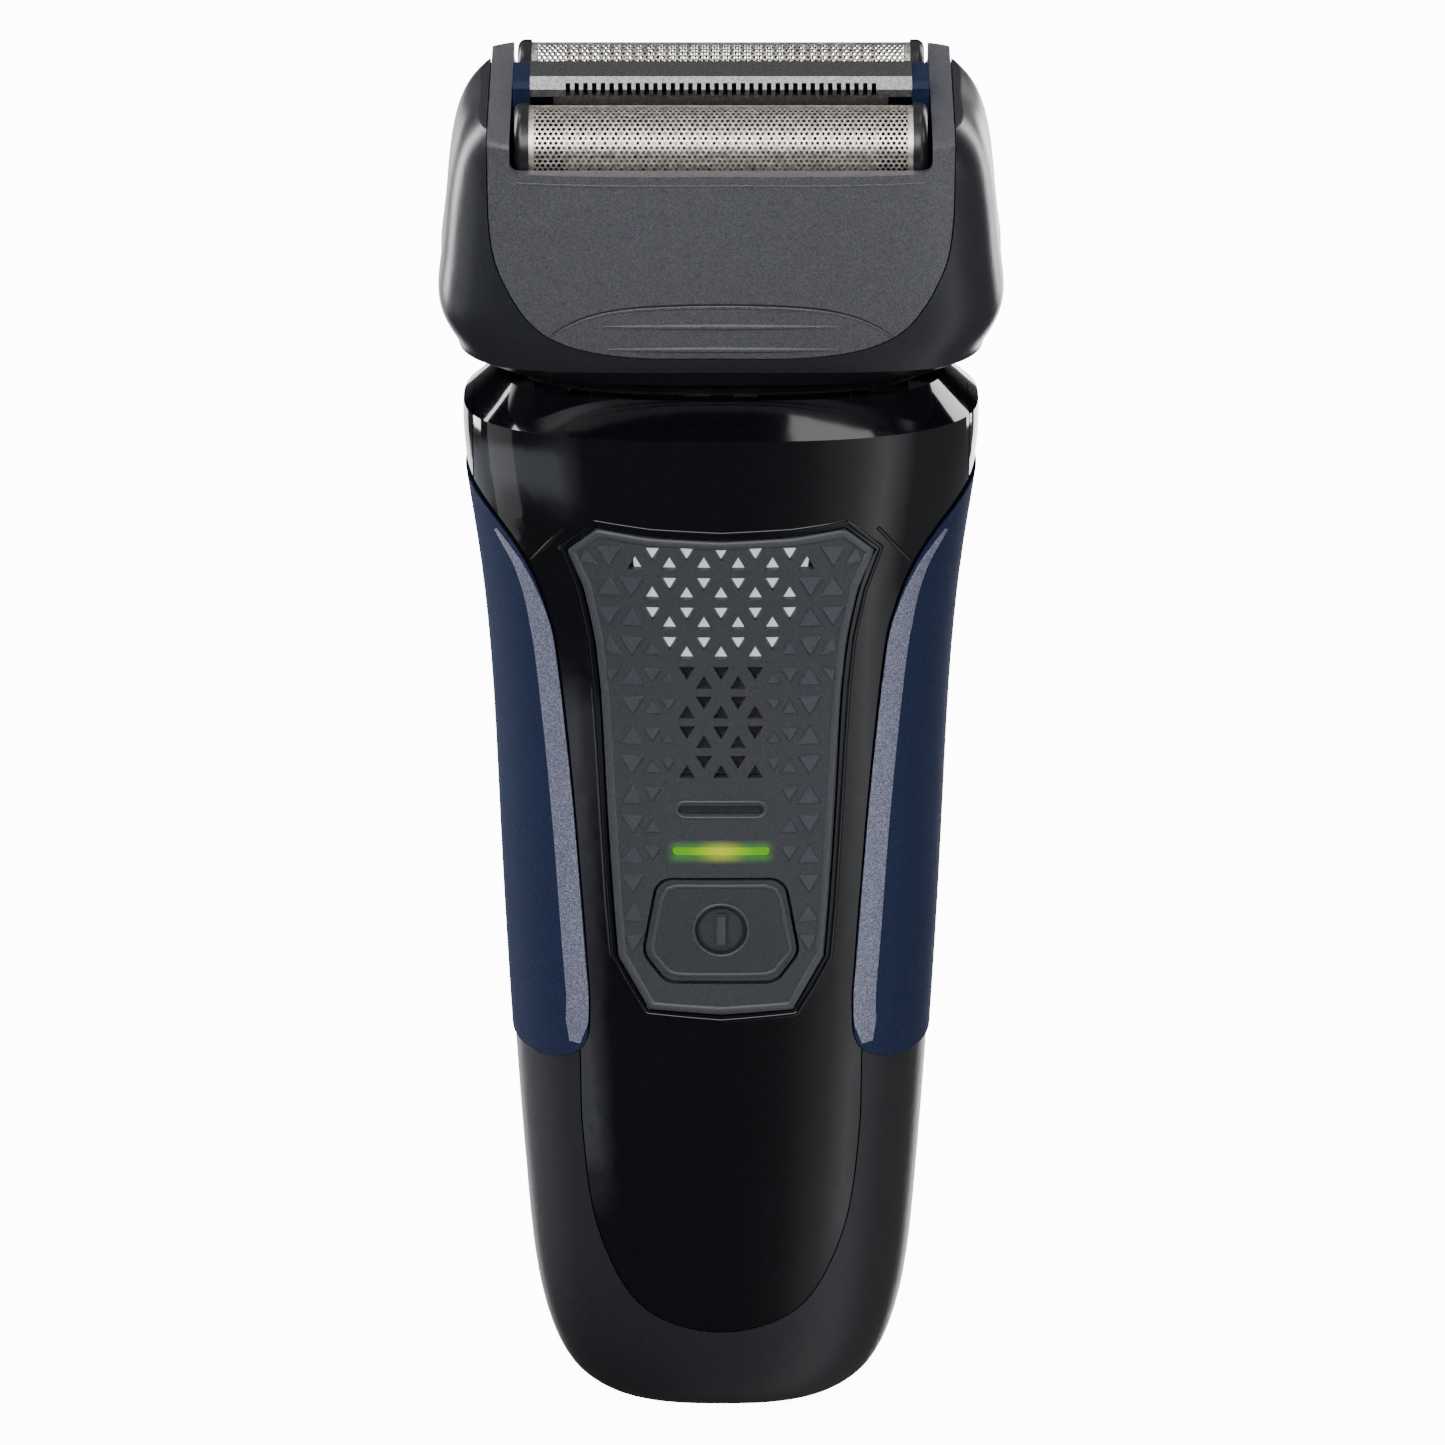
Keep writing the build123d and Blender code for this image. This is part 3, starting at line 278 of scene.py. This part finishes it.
LOOKS = {
    gloss_black: ["front_shell", "collar"],
    satin_shell: ["rear_shell"],
    navy_grip: ["left_grip", "right_grip"],
    pad_rubber: ["texture_pad"],
    button_rubber: ["power_button"],
    head_satin: ["foil_cassette"],
    cheek_black: ["head_housing"],
    cap_black: ["front_foil_frame", "rear_foil_frame"],
    black_plastic: [
        "trimmer_arm", "trimmer_switch", "neck_seal", "charging_socket", "tact_switch", "board_components",
        "motor_endbell", "neck_plate",
    ],
    foil_metal: ["front_foil", "rear_foil"],
    guard_metal: ["trimmer_guard", "trimmer_comb"],
    blade_metal: ["front_cutter", "rear_cutter", "guard_cutter", "trimmer_blade"],
    pin_metal: [
        "pivot_pins", "trimmer_hinge_pin", "case_screws", "motor_shaft", "front_cutter_spring",
        "middle_cutter_spring", "rear_cutter_spring", "battery_tabs",
    ],
    brass: ["socket_pins"],
    motor_metal: ["motor_can"],
    bracket_blue: ["guard_brackets"],
    grey_plastic: ["chassis", "bridge_guides", "head_chassis"],
    ivory_plastic: ["drive_bridge", "eccentric", "cutter_carriage"],
    board_green: ["main_board"],
    cell_wrap: ["battery_cell"],
    lamp_clear: ["board_lamps"],
    lens_dark: ["signal_lens"],
    charge_glow: ["charge_lens"],
    display_glow: ["display_lightguide"],
}
for look, names in LOOKS.items():
    for name in names:
        nodes[name].data.materials.clear()
        nodes[name].data.materials.append(look)


# ---------------------------------------------------------------- laying detail on the CAD's surfaces
JOINTS = {joint["name"]: joint for joint in frame["joints"]}
PIVOT = Vector(JOINTS["head_pivot"]["pos_m"]) / MM
UP = Vector(JOINTS["cassette_lift"]["axis"]).normalized()
TILT = math.atan2(-UP.y, UP.z)
HEAD_FRAME = Matrix.Translation(PIVOT) @ Matrix.Rotation(TILT, 4, "X")
ROW_FRAME = Matrix.Identity(4)
CAST_FROM = -60  # rays start this far in front of the shaver
NEAR_FRONT = -14  # a ray that misses takes the nearest surface to a point here
NEARBY = 0.5  # how far round a point its normal is evened out


class Surface:
    """The front of some CAD nodes, looked up by x and height in a frame whose front faces its -Y."""

    def __init__(self, names, place=ROW_FRAME):
        corners, faces = [], []
        for name in names:
            mesh = nodes[name].data
            first = len(corners)
            corners += [corner.co / MM for corner in mesh.vertices]
            faces += [[first + i for i in face.vertices] for face in mesh.polygons]
        self.tree = BVHTree.FromPolygons(corners, faces)
        self.place = place
        self.way = (place.to_3x3() @ Vector((0, 1, 0))).normalized()

    def hit(self, x, z):
        """The first point met from the front, and the flat face's normal."""
        point, normal = self.tree.ray_cast(self.place @ Vector((x, CAST_FROM, z)), self.way)[:2]
        return point, normal

    def at(self, x, z):
        """The point and a normal evened out over its surroundings."""
        point, normal = self.hit(x, z)
        if point is None:
            point, normal = self.tree.find_nearest(self.place @ Vector((x, NEAR_FRONT, z)))[:2]
        total = Vector(normal)
        for dx, dz in ((NEARBY, 0), (-NEARBY, 0), (0, NEARBY), (0, -NEARBY)):
            near, side = self.hit(x + dx, z + dz)
            if near is not None and side.dot(normal) > 0.8:
                total += side
        return point, total.normalized()


def make(name, corners, faces, look, body, smooth=True, sharp=None):
    """A mesh from millimetre corners, riding a body."""
    mesh = bpy.data.meshes.new(name)
    mesh.from_pydata([Vector(corner) * MM for corner in corners], [], faces)
    mesh.materials.append(look)
    if smooth:
        mesh.shade_smooth()
    if sharp:
        mesh.set_sharp_from_angle(angle=math.radians(sharp))
    made = bpy.data.objects.new(name, mesh)
    bpy.context.scene.collection.objects.link(made)
    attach(made, body)
    return made


def resampled(path, step, closed=False):
    """Evenly spaced points along a polyline."""
    path = [Vector(point) for point in path] + ([Vector(path[0])] if closed else [])
    lengths = [0.0]
    for here, there in zip(path, path[1:]):
        lengths.append(lengths[-1] + (there - here).length)
    count = max(int(lengths[-1] / step), 2)
    found, leg = [], 0
    for i in range(count if closed else count + 1):
        along = lengths[-1] * i / count
        while leg < len(path) - 2 and along > lengths[leg + 1]:
            leg += 1
        share = (along - lengths[leg]) / (lengths[leg + 1] - lengths[leg])
        found.append(path[leg].lerp(path[leg + 1], min(share, 1.0)))
    return found


def curve(points, steps=8):
    """A smooth open path through points."""
    points = [Vector(point) for point in points]
    ends = points[:1] + points + points[-1:]
    path = []
    for a, b, c, d in zip(ends, ends[1:], ends[2:], ends[3:]):
        for i in range(steps):
            t = i / steps
            bend = (2 * a - 5 * b + 4 * c - d) * t**2 + (3 * b - 3 * c + d - a) * t**3
            path.append(0.5 * (2 * b + (c - a) * t + bend))
    return path + [points[-1]]


# the sections of a raised line, as shares of its half width and of its height
ROUND = [(-1, -0.4), (-0.92, 0.45), (-0.6, 0.85), (0, 1), (0.6, 0.85), (0.92, 0.45), (1, -0.4)]
FLAT = [(-1, -0.5), (-1, 0.7), (-0.9, 1), (0.9, 1), (1, 0.7), (1, -0.5)]


def bead(name, path, surface, look, body, width, height, closed=False, profile=ROUND, step=0.5, taper=None):
    """A raised line of one profile along a path drawn on a surface, narrowed by taper where it is given."""
    points = resampled(path, step, closed)
    count = len(points)
    corners, faces = [], []
    for i, point in enumerate(points):
        before = points[(i - 1) % count] if closed else points[max(i - 1, 0)]
        after = points[(i + 1) % count] if closed else points[min(i + 1, count - 1)]
        place, normal = surface.at(point.x, point.y)
        run = surface.place.to_3x3() @ Vector((after.x - before.x, 0, after.y - before.y))
        side = normal.cross(run).normalized()
        grow = taper(i / (count - 1)) if taper else 1.0
        for across, up in profile:
            corners.append(place + side * across * width / 2 * grow + normal * up * height * max(grow, 0.3))
    rows = len(profile)
    for i in range(count if closed else count - 1):
        here, there = i * rows, (i + 1) % count * rows
        for j in range(rows - 1):
            faces.append((here + j, there + j, there + j + 1, here + j + 1))
    return make(name, corners, faces, look, body, sharp=50 if profile is FLAT else None)


def mirrored(half):
    """A closed outline from its right half, which runs from the bottom centre to the top centre."""
    return list(half) + [(-x, z) for x, z in reversed(half) if x != 0]


def inset(outline, amount):
    """A counter-clockwise outline moved inwards."""
    moved = []
    count = len(outline)
    for i in range(count):
        before, here, after = (Vector(outline[j % count]) for j in (i - 1, i, i + 1))
        turn = ((here - before).normalized() + (after - here).normalized()).normalized()
        moved.append(here + Vector((-turn.y, turn.x)) * amount)
    return moved


def spindle(share):
    """A width that grows from nothing to full and back."""
    return max(math.sin(math.pi * share), 0.0) ** 0.6


head_front = Surface(["foil_cassette"], HEAD_FRAME)
pad_front = Surface(["texture_pad"])
shell_front = Surface(["front_shell"])
button_front = Surface(["power_button"])

# ---------------------------------------------------------------- pad: rim, plateaus and slot outline
PAD_HALF = [
    (0, 51.7), (8.2, 52.3), (9.9, 55.3), (11.7, 58.6), (12.2, 65.0), (12.8, 76.0), (13.2, 84.0), (13.6, 91.0),
    (14.2, 97.2), (15.4, 103.0), (17.2, 107.6), (13.9, 110.4), (8.0, 109.6), (0, 109.2),
]
PAD_OUTLINE = mirrored(PAD_HALF)
LONG_STEP, SHORT_STEP = 0.4, 0.3  # spacing of the sections along long and short lines
bead(
    "pad_rim", inset(PAD_OUTLINE, 0.52), pad_front, pad_edge, "handle",
    width=0.98, height=0.16, closed=True, step=LONG_STEP,
)

ROW = 3.6  # height of a row of triangles
ROWS_TOP = PAD_TOP - 2.0
# the columns of raised triangles, counted from the middle of the pad: x and size
SIDE_CELLS = {3: (5.95, 0.75), 4: (7.75, 0.95), 5: (10.0, 1.35), 6: (12.55, 1.42), 7: (15.1, 1.35)}
# in each row, the last column taken by holes or, lower down, by the slot, the lens and the button
BARE_COLUMNS = (5, 4, 4, 3, 2, 2, 2, 2, 3, 3, 3, 3, 3, 3)
NARROW_ROW, BUTTON_ROW = 8, 11  # from here down the pad is narrower, and the button stands beside the columns
FIELD = [tuple(point) for point in inset(PAD_OUTLINE, 1.15)]
PLATEAU_RINGS = ((0.22, -0.15), (0.22, 0.02), (0.0, 0.2))  # how far each ring is grown, and its height


def inside(x, z, outline):
    """Whether a point lies inside a closed outline."""
    count, within = len(outline), False
    for i in range(count):
        (x1, z1), (x2, z2) = outline[i], outline[(i + 1) % count]
        if (z1 > z) != (z2 > z) and x < (x2 - x1) * (z - z1) / (z2 - z1) + x1:
            within = not within
    return within


def clipped(points, outline):
    """Points drawn in towards their own middle until they lie inside the outline."""
    middle = sum((Vector(point) for point in points), Vector((0, 0))) / len(points)
    held = []
    for point in points:
        spot = Vector(point)
        for _ in range(12):
            if inside(spot.x, spot.y, outline):
                break
            spot = spot.lerp(middle, 0.12)
        held.append(spot)
    return held


def plateau(x, z, size, points_down, corners, faces):
    """Adds one raised triangle with a flat top and sloping sides."""
    angles = [math.radians((-90 if points_down else 90) + 120 * i) for i in range(3)]
    first = len(corners)
    for grow, up in PLATEAU_RINGS:
        reach = size + grow
        ring = [(x + reach * math.cos(angle), z + reach * math.sin(angle)) for angle in angles]
        for spot in clipped(ring, FIELD):
            place, normal = pad_front.at(spot.x, spot.y)
            corners.append(place + normal * up)
    for level in (first, first + 3):
        for i in range(3):
            here, there = level + i, level + (i + 1) % 3
            faces.append((here, there, there + 3, here + 3))
    faces.append((first + 6, first + 7, first + 8))


def plateaus():
    """The raised triangles at both sides of the pad."""
    corners, faces = [], []
    for row, bare in enumerate(BARE_COLUMNS):
        for column, (x, size) in SIDE_CELLS.items():
            past_edge = row >= NARROW_ROW and column > 5
            beside_button = row >= BUTTON_ROW and column == 4
            if column <= bare or past_edge or beside_button:
                continue
            points_down = (column + row) % 2 == 0
            z = ROWS_TOP - row * ROW - (0.8 if points_down else 1.5)
            for side in (-1, 1):
                if inside(side * x, z, FIELD):
                    plateau(side * x, z, size, points_down, corners, faces)
    make("pad_plateaus", corners, faces, pad_edge, "handle", smooth=False)


def slot_path(z, half_length, thickness):
    """A round-ended outline."""
    radius = thickness / 2
    path = []
    for side, start in ((1, -90), (-1, 90)):
        centre = side * (half_length - radius)
        for i in range(9):
            angle = math.radians(start + 180 * i / 8)
            path.append((centre + radius * math.cos(angle), z + radius * math.sin(angle)))
    return path


plateaus()
signal_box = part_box("signal_lens")
SIGNAL_Z = (signal_box[0].z + signal_box[1].z) / 2 / MM
bead(
    "signal_outline", slot_path(SIGNAL_Z, half_length=5.1, thickness=1.9), pad_front, pad_edge, "handle",
    width=0.35, height=0.12, closed=True, step=0.25,
)

# ---------------------------------------------------------------- button: outline, ring and bar
BUTTON_HALF = [
    (0, 55.8), (3.6, 55.8), (5.4, 55.9), (6.6, 56.4), (8.3, 58.6), (8.65, 59.6), (8.1, 62.6), (7.55, 65.8),
    (6.7, 67.5), (5.2, 68.1), (0, 68.1),
]
BUTTON_OUTLINE = mirrored(BUTTON_HALF)
RING_Z = 62.0
RING_RADIUS = 3.15
BAR_HALF = 1.7


def circle(radius):
    """A circle on the button."""
    angles = [math.radians(turn) for turn in range(0, 360, 10)]
    return [(radius * math.cos(angle), RING_Z + radius * math.sin(angle)) for angle in angles]


bead(
    "button_edge", inset(BUTTON_OUTLINE, 0.75), button_front, pad_edge, "button",
    width=0.5, height=0.1, closed=True, step=SHORT_STEP,
)
# painted shade of the gap round the button
bead(
    "button_groove_shade", inset(BUTTON_OUTLINE, -0.2), pad_front, painted_groove_shade, "handle",
    width=0.75, height=0.03, closed=True, profile=FLAT, step=SHORT_STEP,
)
bead(
    "button_ring", circle(RING_RADIUS), button_front, pad_edge, "button",
    width=0.35, height=0.1, closed=True, step=SHORT_STEP,
)
# painted shade inside the button's ring
bead(
    "button_ring_groove_shade", circle(0.86 * RING_RADIUS), button_front, painted_groove_shade, "button",
    width=0.55, height=0.03, closed=True, profile=FLAT, step=SHORT_STEP,
)
bead(
    "button_bar", [(0, RING_Z - BAR_HALF), (0, RING_Z + BAR_HALF)], button_front, pad_edge, "button",
    width=1.0, height=0.12, step=SHORT_STEP,
)

# ---------------------------------------------------------------- front shell: border round the pad
bead(
    "pad_border", inset(PAD_OUTLINE, -0.85), shell_front, gloss_black, "handle",
    width=0.55, height=0.13, closed=True, step=LONG_STEP,
)
CORNER_LINE = [(17.6, 110.2), (19.4, 108.0), (21.3, 105.7)]
for side, name in ((1, "right_corner_line"), (-1, "left_corner_line")):
    line = [(side * x, z) for x, z in CORNER_LINE]
    bead(name, line, shell_front, gloss_black, "handle", width=0.5, height=0.13)

# ---------------------------------------------------------------- grips: facet along the inner edge, its lighter colour a painted highlight
FACET = [
    (25.4, 108.4), (22.6, 104.4), (20.6, 98.8), (19.55, 92.0), (18.05, 76.0), (16.95, 60.0), (16.45, 52.5),
    (16.8, 47.4),
]


def facet_taper(share):
    """Narrow at the top end, and rounded off at the foot."""
    return min(1.0, 0.25 + share * 4) * min(1.0, 0.5 + (1 - share) * 12)


for side, name in ((1, "right"), (-1, "left")):
    grip_front = Surface([f"{name}_grip"])
    path = curve([(side * x, z) for x, z in FACET])
    bead(
        f"{name}_grip_facet_highlight", path, grip_front, grip_facet_highlight, "handle",
        width=2.8, height=0.07, profile=FLAT, taper=facet_taper,
    )

# ---------------------------------------------------------------- head: arch line, ridges and step
ARCH_HALF = [(20.2, 6.3), (17.6, 8.6), (14.0, 10.3), (9.0, 11.2)]
ARCH = curve(ARCH_HALF + [(0, 11.5)] + [(-x, z) for x, z in reversed(ARCH_HALF)])
# painted shade under the arch's step edge
bead(
    "plate_arch_groove_shade", ARCH, head_front, painted_groove_shade, "cassette",
    width=0.28, height=0.03, profile=FLAT, taper=spindle,
)
bead(
    "plate_arch_lip", [(x, z - 0.35) for x, z in ARCH], head_front, head_satin, "cassette",
    width=0.5, height=0.1, taper=spindle,
)
for name, z in (("upper_plate_ridge", 8.8), ("lower_plate_ridge", 5.9)):
    ridge = [(x, z) for x in np.linspace(-13.3, 13.3, 9)]
    bead(name, ridge, head_front, head_satin, "cassette", width=0.8, height=0.32, taper=spindle)
STEP_Z = 25.8  # just under the plate's upper edge
STEP_HALF = 22.6
bead(
    "plate_step", [(x, STEP_Z) for x in (-STEP_HALF, 0, STEP_HALF)], head_front, head_satin, "cassette",
    width=0.3, height=0.05,
)


# ---------------------------------------------------------------- perforated foils
PITCH = 0.6
ROW_STEP = PITCH * math.sqrt(3) / 2
HOLE = 0.225  # radius
HOLE_DEPTH = 0.08
SKIRT_HOLES = 1.8  # how far the holes run down the straight skirts
EDGE = 0.62  # width of the plain border at each end
SKIN = 0.02  # the holes' sheet lies this far inside the CAD sheet's outer face


class Sheet:
    """An arched foil, measured in the head's frame."""

    def __init__(self, node):
        inverse = HEAD_FRAME.inverted()
        local = [inverse @ (corner.co / MM) for corner in nodes[node].data.vertices]
        front, back = min(point.y for point in local), max(point.y for point in local)
        self.middle = (front + back) / 2
        self.radius = (back - front) / 2 - SKIN
        self.centre = max(point.z for point in local) - self.radius - SKIN
        self.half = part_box(node)[1].x / MM
        self.quarter = math.pi / 2 * self.radius
        self.reach = self.quarter + SKIRT_HOLES
        self.foot = self.quarter + self.centre - min(point.z for point in local)

    def point(self, along, across, lift=0.0):
        """A point on the sheet: across is the arc length from the crown, to the front when negative."""
        radius = self.radius + lift
        if abs(across) <= self.quarter:
            angle = across / self.radius
            y, z = self.middle + radius * math.sin(angle), self.centre + radius * math.cos(angle)
        else:
            y = self.middle + math.copysign(radius, across)
            z = self.centre - (abs(across) - self.quarter)
        return HEAD_FRAME @ Vector((along, y, z))


def tile(sheet, along, across, corners, faces):
    """Adds a hexagon with a hole in it, and the hole's wall."""
    first = len(corners)
    for i in range(6):
        angle = math.radians(30 + 60 * i)
        for size, lift in ((PITCH / math.sqrt(3) + 0.002, 0.0), (HOLE, 0.0), (HOLE, -HOLE_DEPTH)):
            spot = along + size * math.cos(angle), across + size * math.sin(angle)
            corners.append(sheet.point(*spot, lift))
    for i in range(6):
        a, b = first + 3 * i, first + 3 * ((i + 1) % 6)
        faces.append((a, b, b + 1, a + 1))
        faces.append((a + 1, b + 1, b + 2, a + 2))


def end_border(sheet, side, corners, faces, steps=40):
    """Adds the plain strip over the arch at one end."""
    first = len(corners)
    for i in range(steps + 1):
        across = (2 * i / steps - 1) * sheet.reach
        for along in (side * sheet.half, side * (sheet.half - EDGE)):
            corners.append(sheet.point(along, across, 0.015))
    for i in range(first, first + 2 * steps, 2):
        faces.append((i, i + 1, i + 3, i + 2))


def foot_border(sheet, side, corners, faces):
    """Adds the plain strip along one foot."""
    first = len(corners)
    for along in (-sheet.half, sheet.half):
        for across in (sheet.reach - 0.3, sheet.foot):
            corners.append(sheet.point(along, side * across, 0.01))
    faces.append((first, first + 1, first + 3, first + 2))


def perforated_foil(name, body, node):
    """A sheet of hexagonal tiles with a hole in each, with plain borders."""
    sheet = Sheet(node)
    corners, faces = [], []
    rows = int(2 * sheet.reach / ROW_STEP)
    columns = int((2 * sheet.half - 0.6) / PITCH)
    for row in range(rows):
        across = (row - (rows - 1) / 2) * ROW_STEP
        shift = 0.25 if row % 2 else -0.25
        for column in range(columns):
            tile(sheet, (column - (columns - 1) / 2 + shift) * PITCH, across, corners, faces)
    for side in (-1, 1):
        end_border(sheet, side, corners, faces)
        foot_border(sheet, side, corners, faces)
    made = make(name, corners, faces, foil_metal, body, sharp=35)
    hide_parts(node)


perforated_foil("front_foil_mesh", "front_foil_unit", "front_foil")
perforated_foil("rear_foil_mesh", "rear_foil_unit", "rear_foil")

# ---------------------------------------------------------------- cutter springs, copied to ride the carriage
for place in ("front", "rear", "middle"):
    node = nodes[f"{place}_cutter_spring"]
    coil = bpy.data.objects.new(f"{place}_spring_coil", node.data.copy())
    bpy.context.scene.collection.objects.link(coil)
    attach(coil, "carriage")
    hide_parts(node.name)
    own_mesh(coil)

# ---------------------------------------------------------------- camera
TARGET = Vector((0.00017, 0, 0.0814))
CAMERA_DISTANCE = 0.9
CAMERA_RISE = math.radians(19)
camera_data = bpy.data.cameras.new("camera")
camera_data.lens = 194.7
camera_data.sensor_width = 36
camera = bpy.data.objects.new("camera", camera_data)
bpy.context.scene.collection.objects.link(camera)
camera.location = TARGET + CAMERA_DISTANCE * Vector((0, -math.cos(CAMERA_RISE), math.sin(CAMERA_RISE)))
camera.rotation_euler = (TARGET - camera.location).to_track_quat("-Z", "Y").to_euler()
bpy.context.scene.camera = camera

# ---------------------------------------------------------------- lights
AIM = Vector((0, 0, 0.09))


def direction(azimuth, elevation):
    """A unit vector: azimuth from the front, positive to the right, and elevation, in degrees."""
    turn, rise = math.radians(azimuth), math.radians(elevation)
    return Vector((math.sin(turn) * math.cos(rise), -math.cos(turn) * math.cos(rise), math.sin(rise)))


def softbox(name, place, size, power):
    """A rectangular area light aimed at the shaver."""
    data = bpy.data.lights.new(name, "AREA")
    data.shape = "RECTANGLE"
    data.size, data.size_y = size
    data.energy = power
    light = bpy.data.objects.new(name, data)
    bpy.context.scene.collection.objects.link(light)
    light.location = place
    light.rotation_euler = (AIM - Vector(place)).to_track_quat("-Z", "Y").to_euler()
    return light


def reflector(name, azimuth, elevation, size, power):
    """A panel that only shows as a soft band in glossy surfaces."""
    light = softbox(name, AIM + 0.8 * direction(azimuth, elevation), size, power)
    light.visible_diffuse = False


softbox("front", AIM + 1.1 * direction(-8, 22), size=(0.9, 0.6), power=12)
softbox("key_left", AIM + 1.0 * direction(-40, 38), size=(0.35, 0.6), power=4)
softbox("key_right", AIM + 1.0 * direction(60, 22), size=(0.25, 0.7), power=3)
overhead = softbox("top", (0, 0.05, 1.0), size=(0.7, 0.5), power=3)
overhead.visible_glossy = False
softbox("rim_left", AIM + 0.8 * direction(-122, 12), size=(0.2, 0.8), power=9)
softbox("rim_right", AIM + 0.8 * direction(134, 12), size=(0.2, 0.8), power=5)

reflector("bevel_left", -109, 58, size=(0.13, 0.14), power=0.9)
reflector("bevel_right", 73, 77, size=(0.3, 0.16), power=0.6)
reflector("above", 0, 52, size=(0.8, 0.35), power=1.1)
reflector("behind_above", 180, 62, size=(0.8, 0.9), power=0.65)
reflector("side_left", -90, -12, size=(0.4, 0.4), power=0.4)
reflector("edge_left", -160, -19, size=(0.3, 0.5), power=1.2)
reflector("edge_right", 160, -19, size=(0.3, 0.5), power=2.6)

# ---------------------------------------------------------------- surroundings
# brightness by azimuth in degrees: a glow to the left, seen only in a low band, and one low on the right
LEFT_GLOW = [(-180, 0.3), (-120, 0.7), (-72, 1.15), (-42, 1.15), (-36, 0.55), (-29, 0.0), (180, 0.0)]
LEFT_TINT = (0.9, 0.95, 1.05)
RIGHT_GLOW = [(-180, 0.1), (2, 0.1), (12, 0.2), (28, 0.7), (42, 1.6), (52, 1.0), (64, 0.35), (180, 0.15)]
RIGHT_TINT = (0.95, 0.97, 1)
# sines of elevation where the left glow's band ends above and below, and where the right glow fades out
BAND_TOP, BAND_FOOT, RIGHT_TOP = (-0.36, -0.30), (-0.45, -0.405), (-0.1, 0.15)


def glow(tree, around, stops, tint, amount):
    """A brightness that changes with azimuth, times an amount, as a colour."""
    ramp = tree.nodes.new("ShaderNodeValToRGB")
    levels = ramp.color_ramp.elements
    for i, (angle, level) in enumerate(stops):
        spot = (angle + 180) / 360
        if i in (0, len(stops) - 1):
            stop = levels[0 if i == 0 else -1]
            stop.position = spot
        else:
            stop = levels.new(spot)
        stop.color = (*(level * part for part in tint), 1)
    tree.links.new(around, ramp.inputs["Fac"])
    node = tree.nodes.new("ShaderNodeVectorMath")
    node.operation = "SCALE"
    tree.links.new(ramp.outputs["Color"], node.inputs[0])
    tree.links.new(amount, node.inputs["Scale"])
    return node.outputs[0]


def surroundings():
    """A dim world with a soft glow on each side."""
    world = bpy.data.worlds.new("studio")
    world.use_nodes = True
    tree = world.node_tree
    where = tree.nodes.new("ShaderNodeTexCoord")
    parts = tree.nodes.new("ShaderNodeSeparateXYZ")
    tree.links.new(where.outputs["Generated"], parts.inputs["Vector"])
    rise = parts.outputs["Z"]
    forward = math_node(tree, "MULTIPLY", parts.outputs["Y"], -1.0)
    azimuth = math_node(tree, "ARCTAN2", parts.outputs["X"], forward)
    around = tree.nodes.new("ShaderNodeMapRange")
    around.inputs["From Min"].default_value = -math.pi
    around.inputs["From Max"].default_value = math.pi
    tree.links.new(azimuth, around.inputs["Value"])
    band = math_node(tree, "SUBTRACT", fade(tree, rise, *BAND_TOP), fade(tree, rise, *BAND_FOOT))
    both = tree.nodes.new("ShaderNodeVectorMath")
    both.operation = "ADD"
    left = glow(tree, around.outputs["Result"], LEFT_GLOW, LEFT_TINT, band)
    right = glow(tree, around.outputs["Result"], RIGHT_GLOW, RIGHT_TINT, fade(tree, rise, *RIGHT_TOP))
    tree.links.new(left, both.inputs[0])
    tree.links.new(right, both.inputs[1])
    background = tree.nodes["Background"]
    tree.links.new(both.outputs[0], background.inputs["Color"])
    background.inputs["Strength"].default_value = 1.0
    bpy.context.scene.world = world


surroundings()

# ---------------------------------------------------------------- stage
STAGE_HALF, STAGE_FRONT, STAGE_BACK, STAGE_TOP = 3, -1.5, 2.5, 3


def card(name, near, far, strength):
    """A pale, softly glowing stage surface between two opposite corners, hidden from glossy surfaces."""
    look = material(f"{name}_white", (0.86, 0.86, 0.86), 0.9, specular=0.0, emit=(1, 1, 1), strength=strength)
    mesh = bpy.data.meshes.new(name)
    corners = [near, (far[0], near[1], near[2]), far, (near[0], far[1], far[2])]
    mesh.from_pydata(corners, [], [(0, 1, 2, 3)])
    mesh.materials.append(look)
    made = bpy.data.objects.new(name, mesh)
    bpy.context.scene.collection.objects.link(made)
    made.visible_glossy = False
    return made


floor = card("floor", (-STAGE_HALF, STAGE_FRONT, 0), (STAGE_HALF, STAGE_BACK, 0), strength=12.0)
floor.visible_diffuse = False
card("backdrop", (-STAGE_HALF, STAGE_BACK, 0), (STAGE_HALF, STAGE_BACK, STAGE_TOP), strength=2.2)
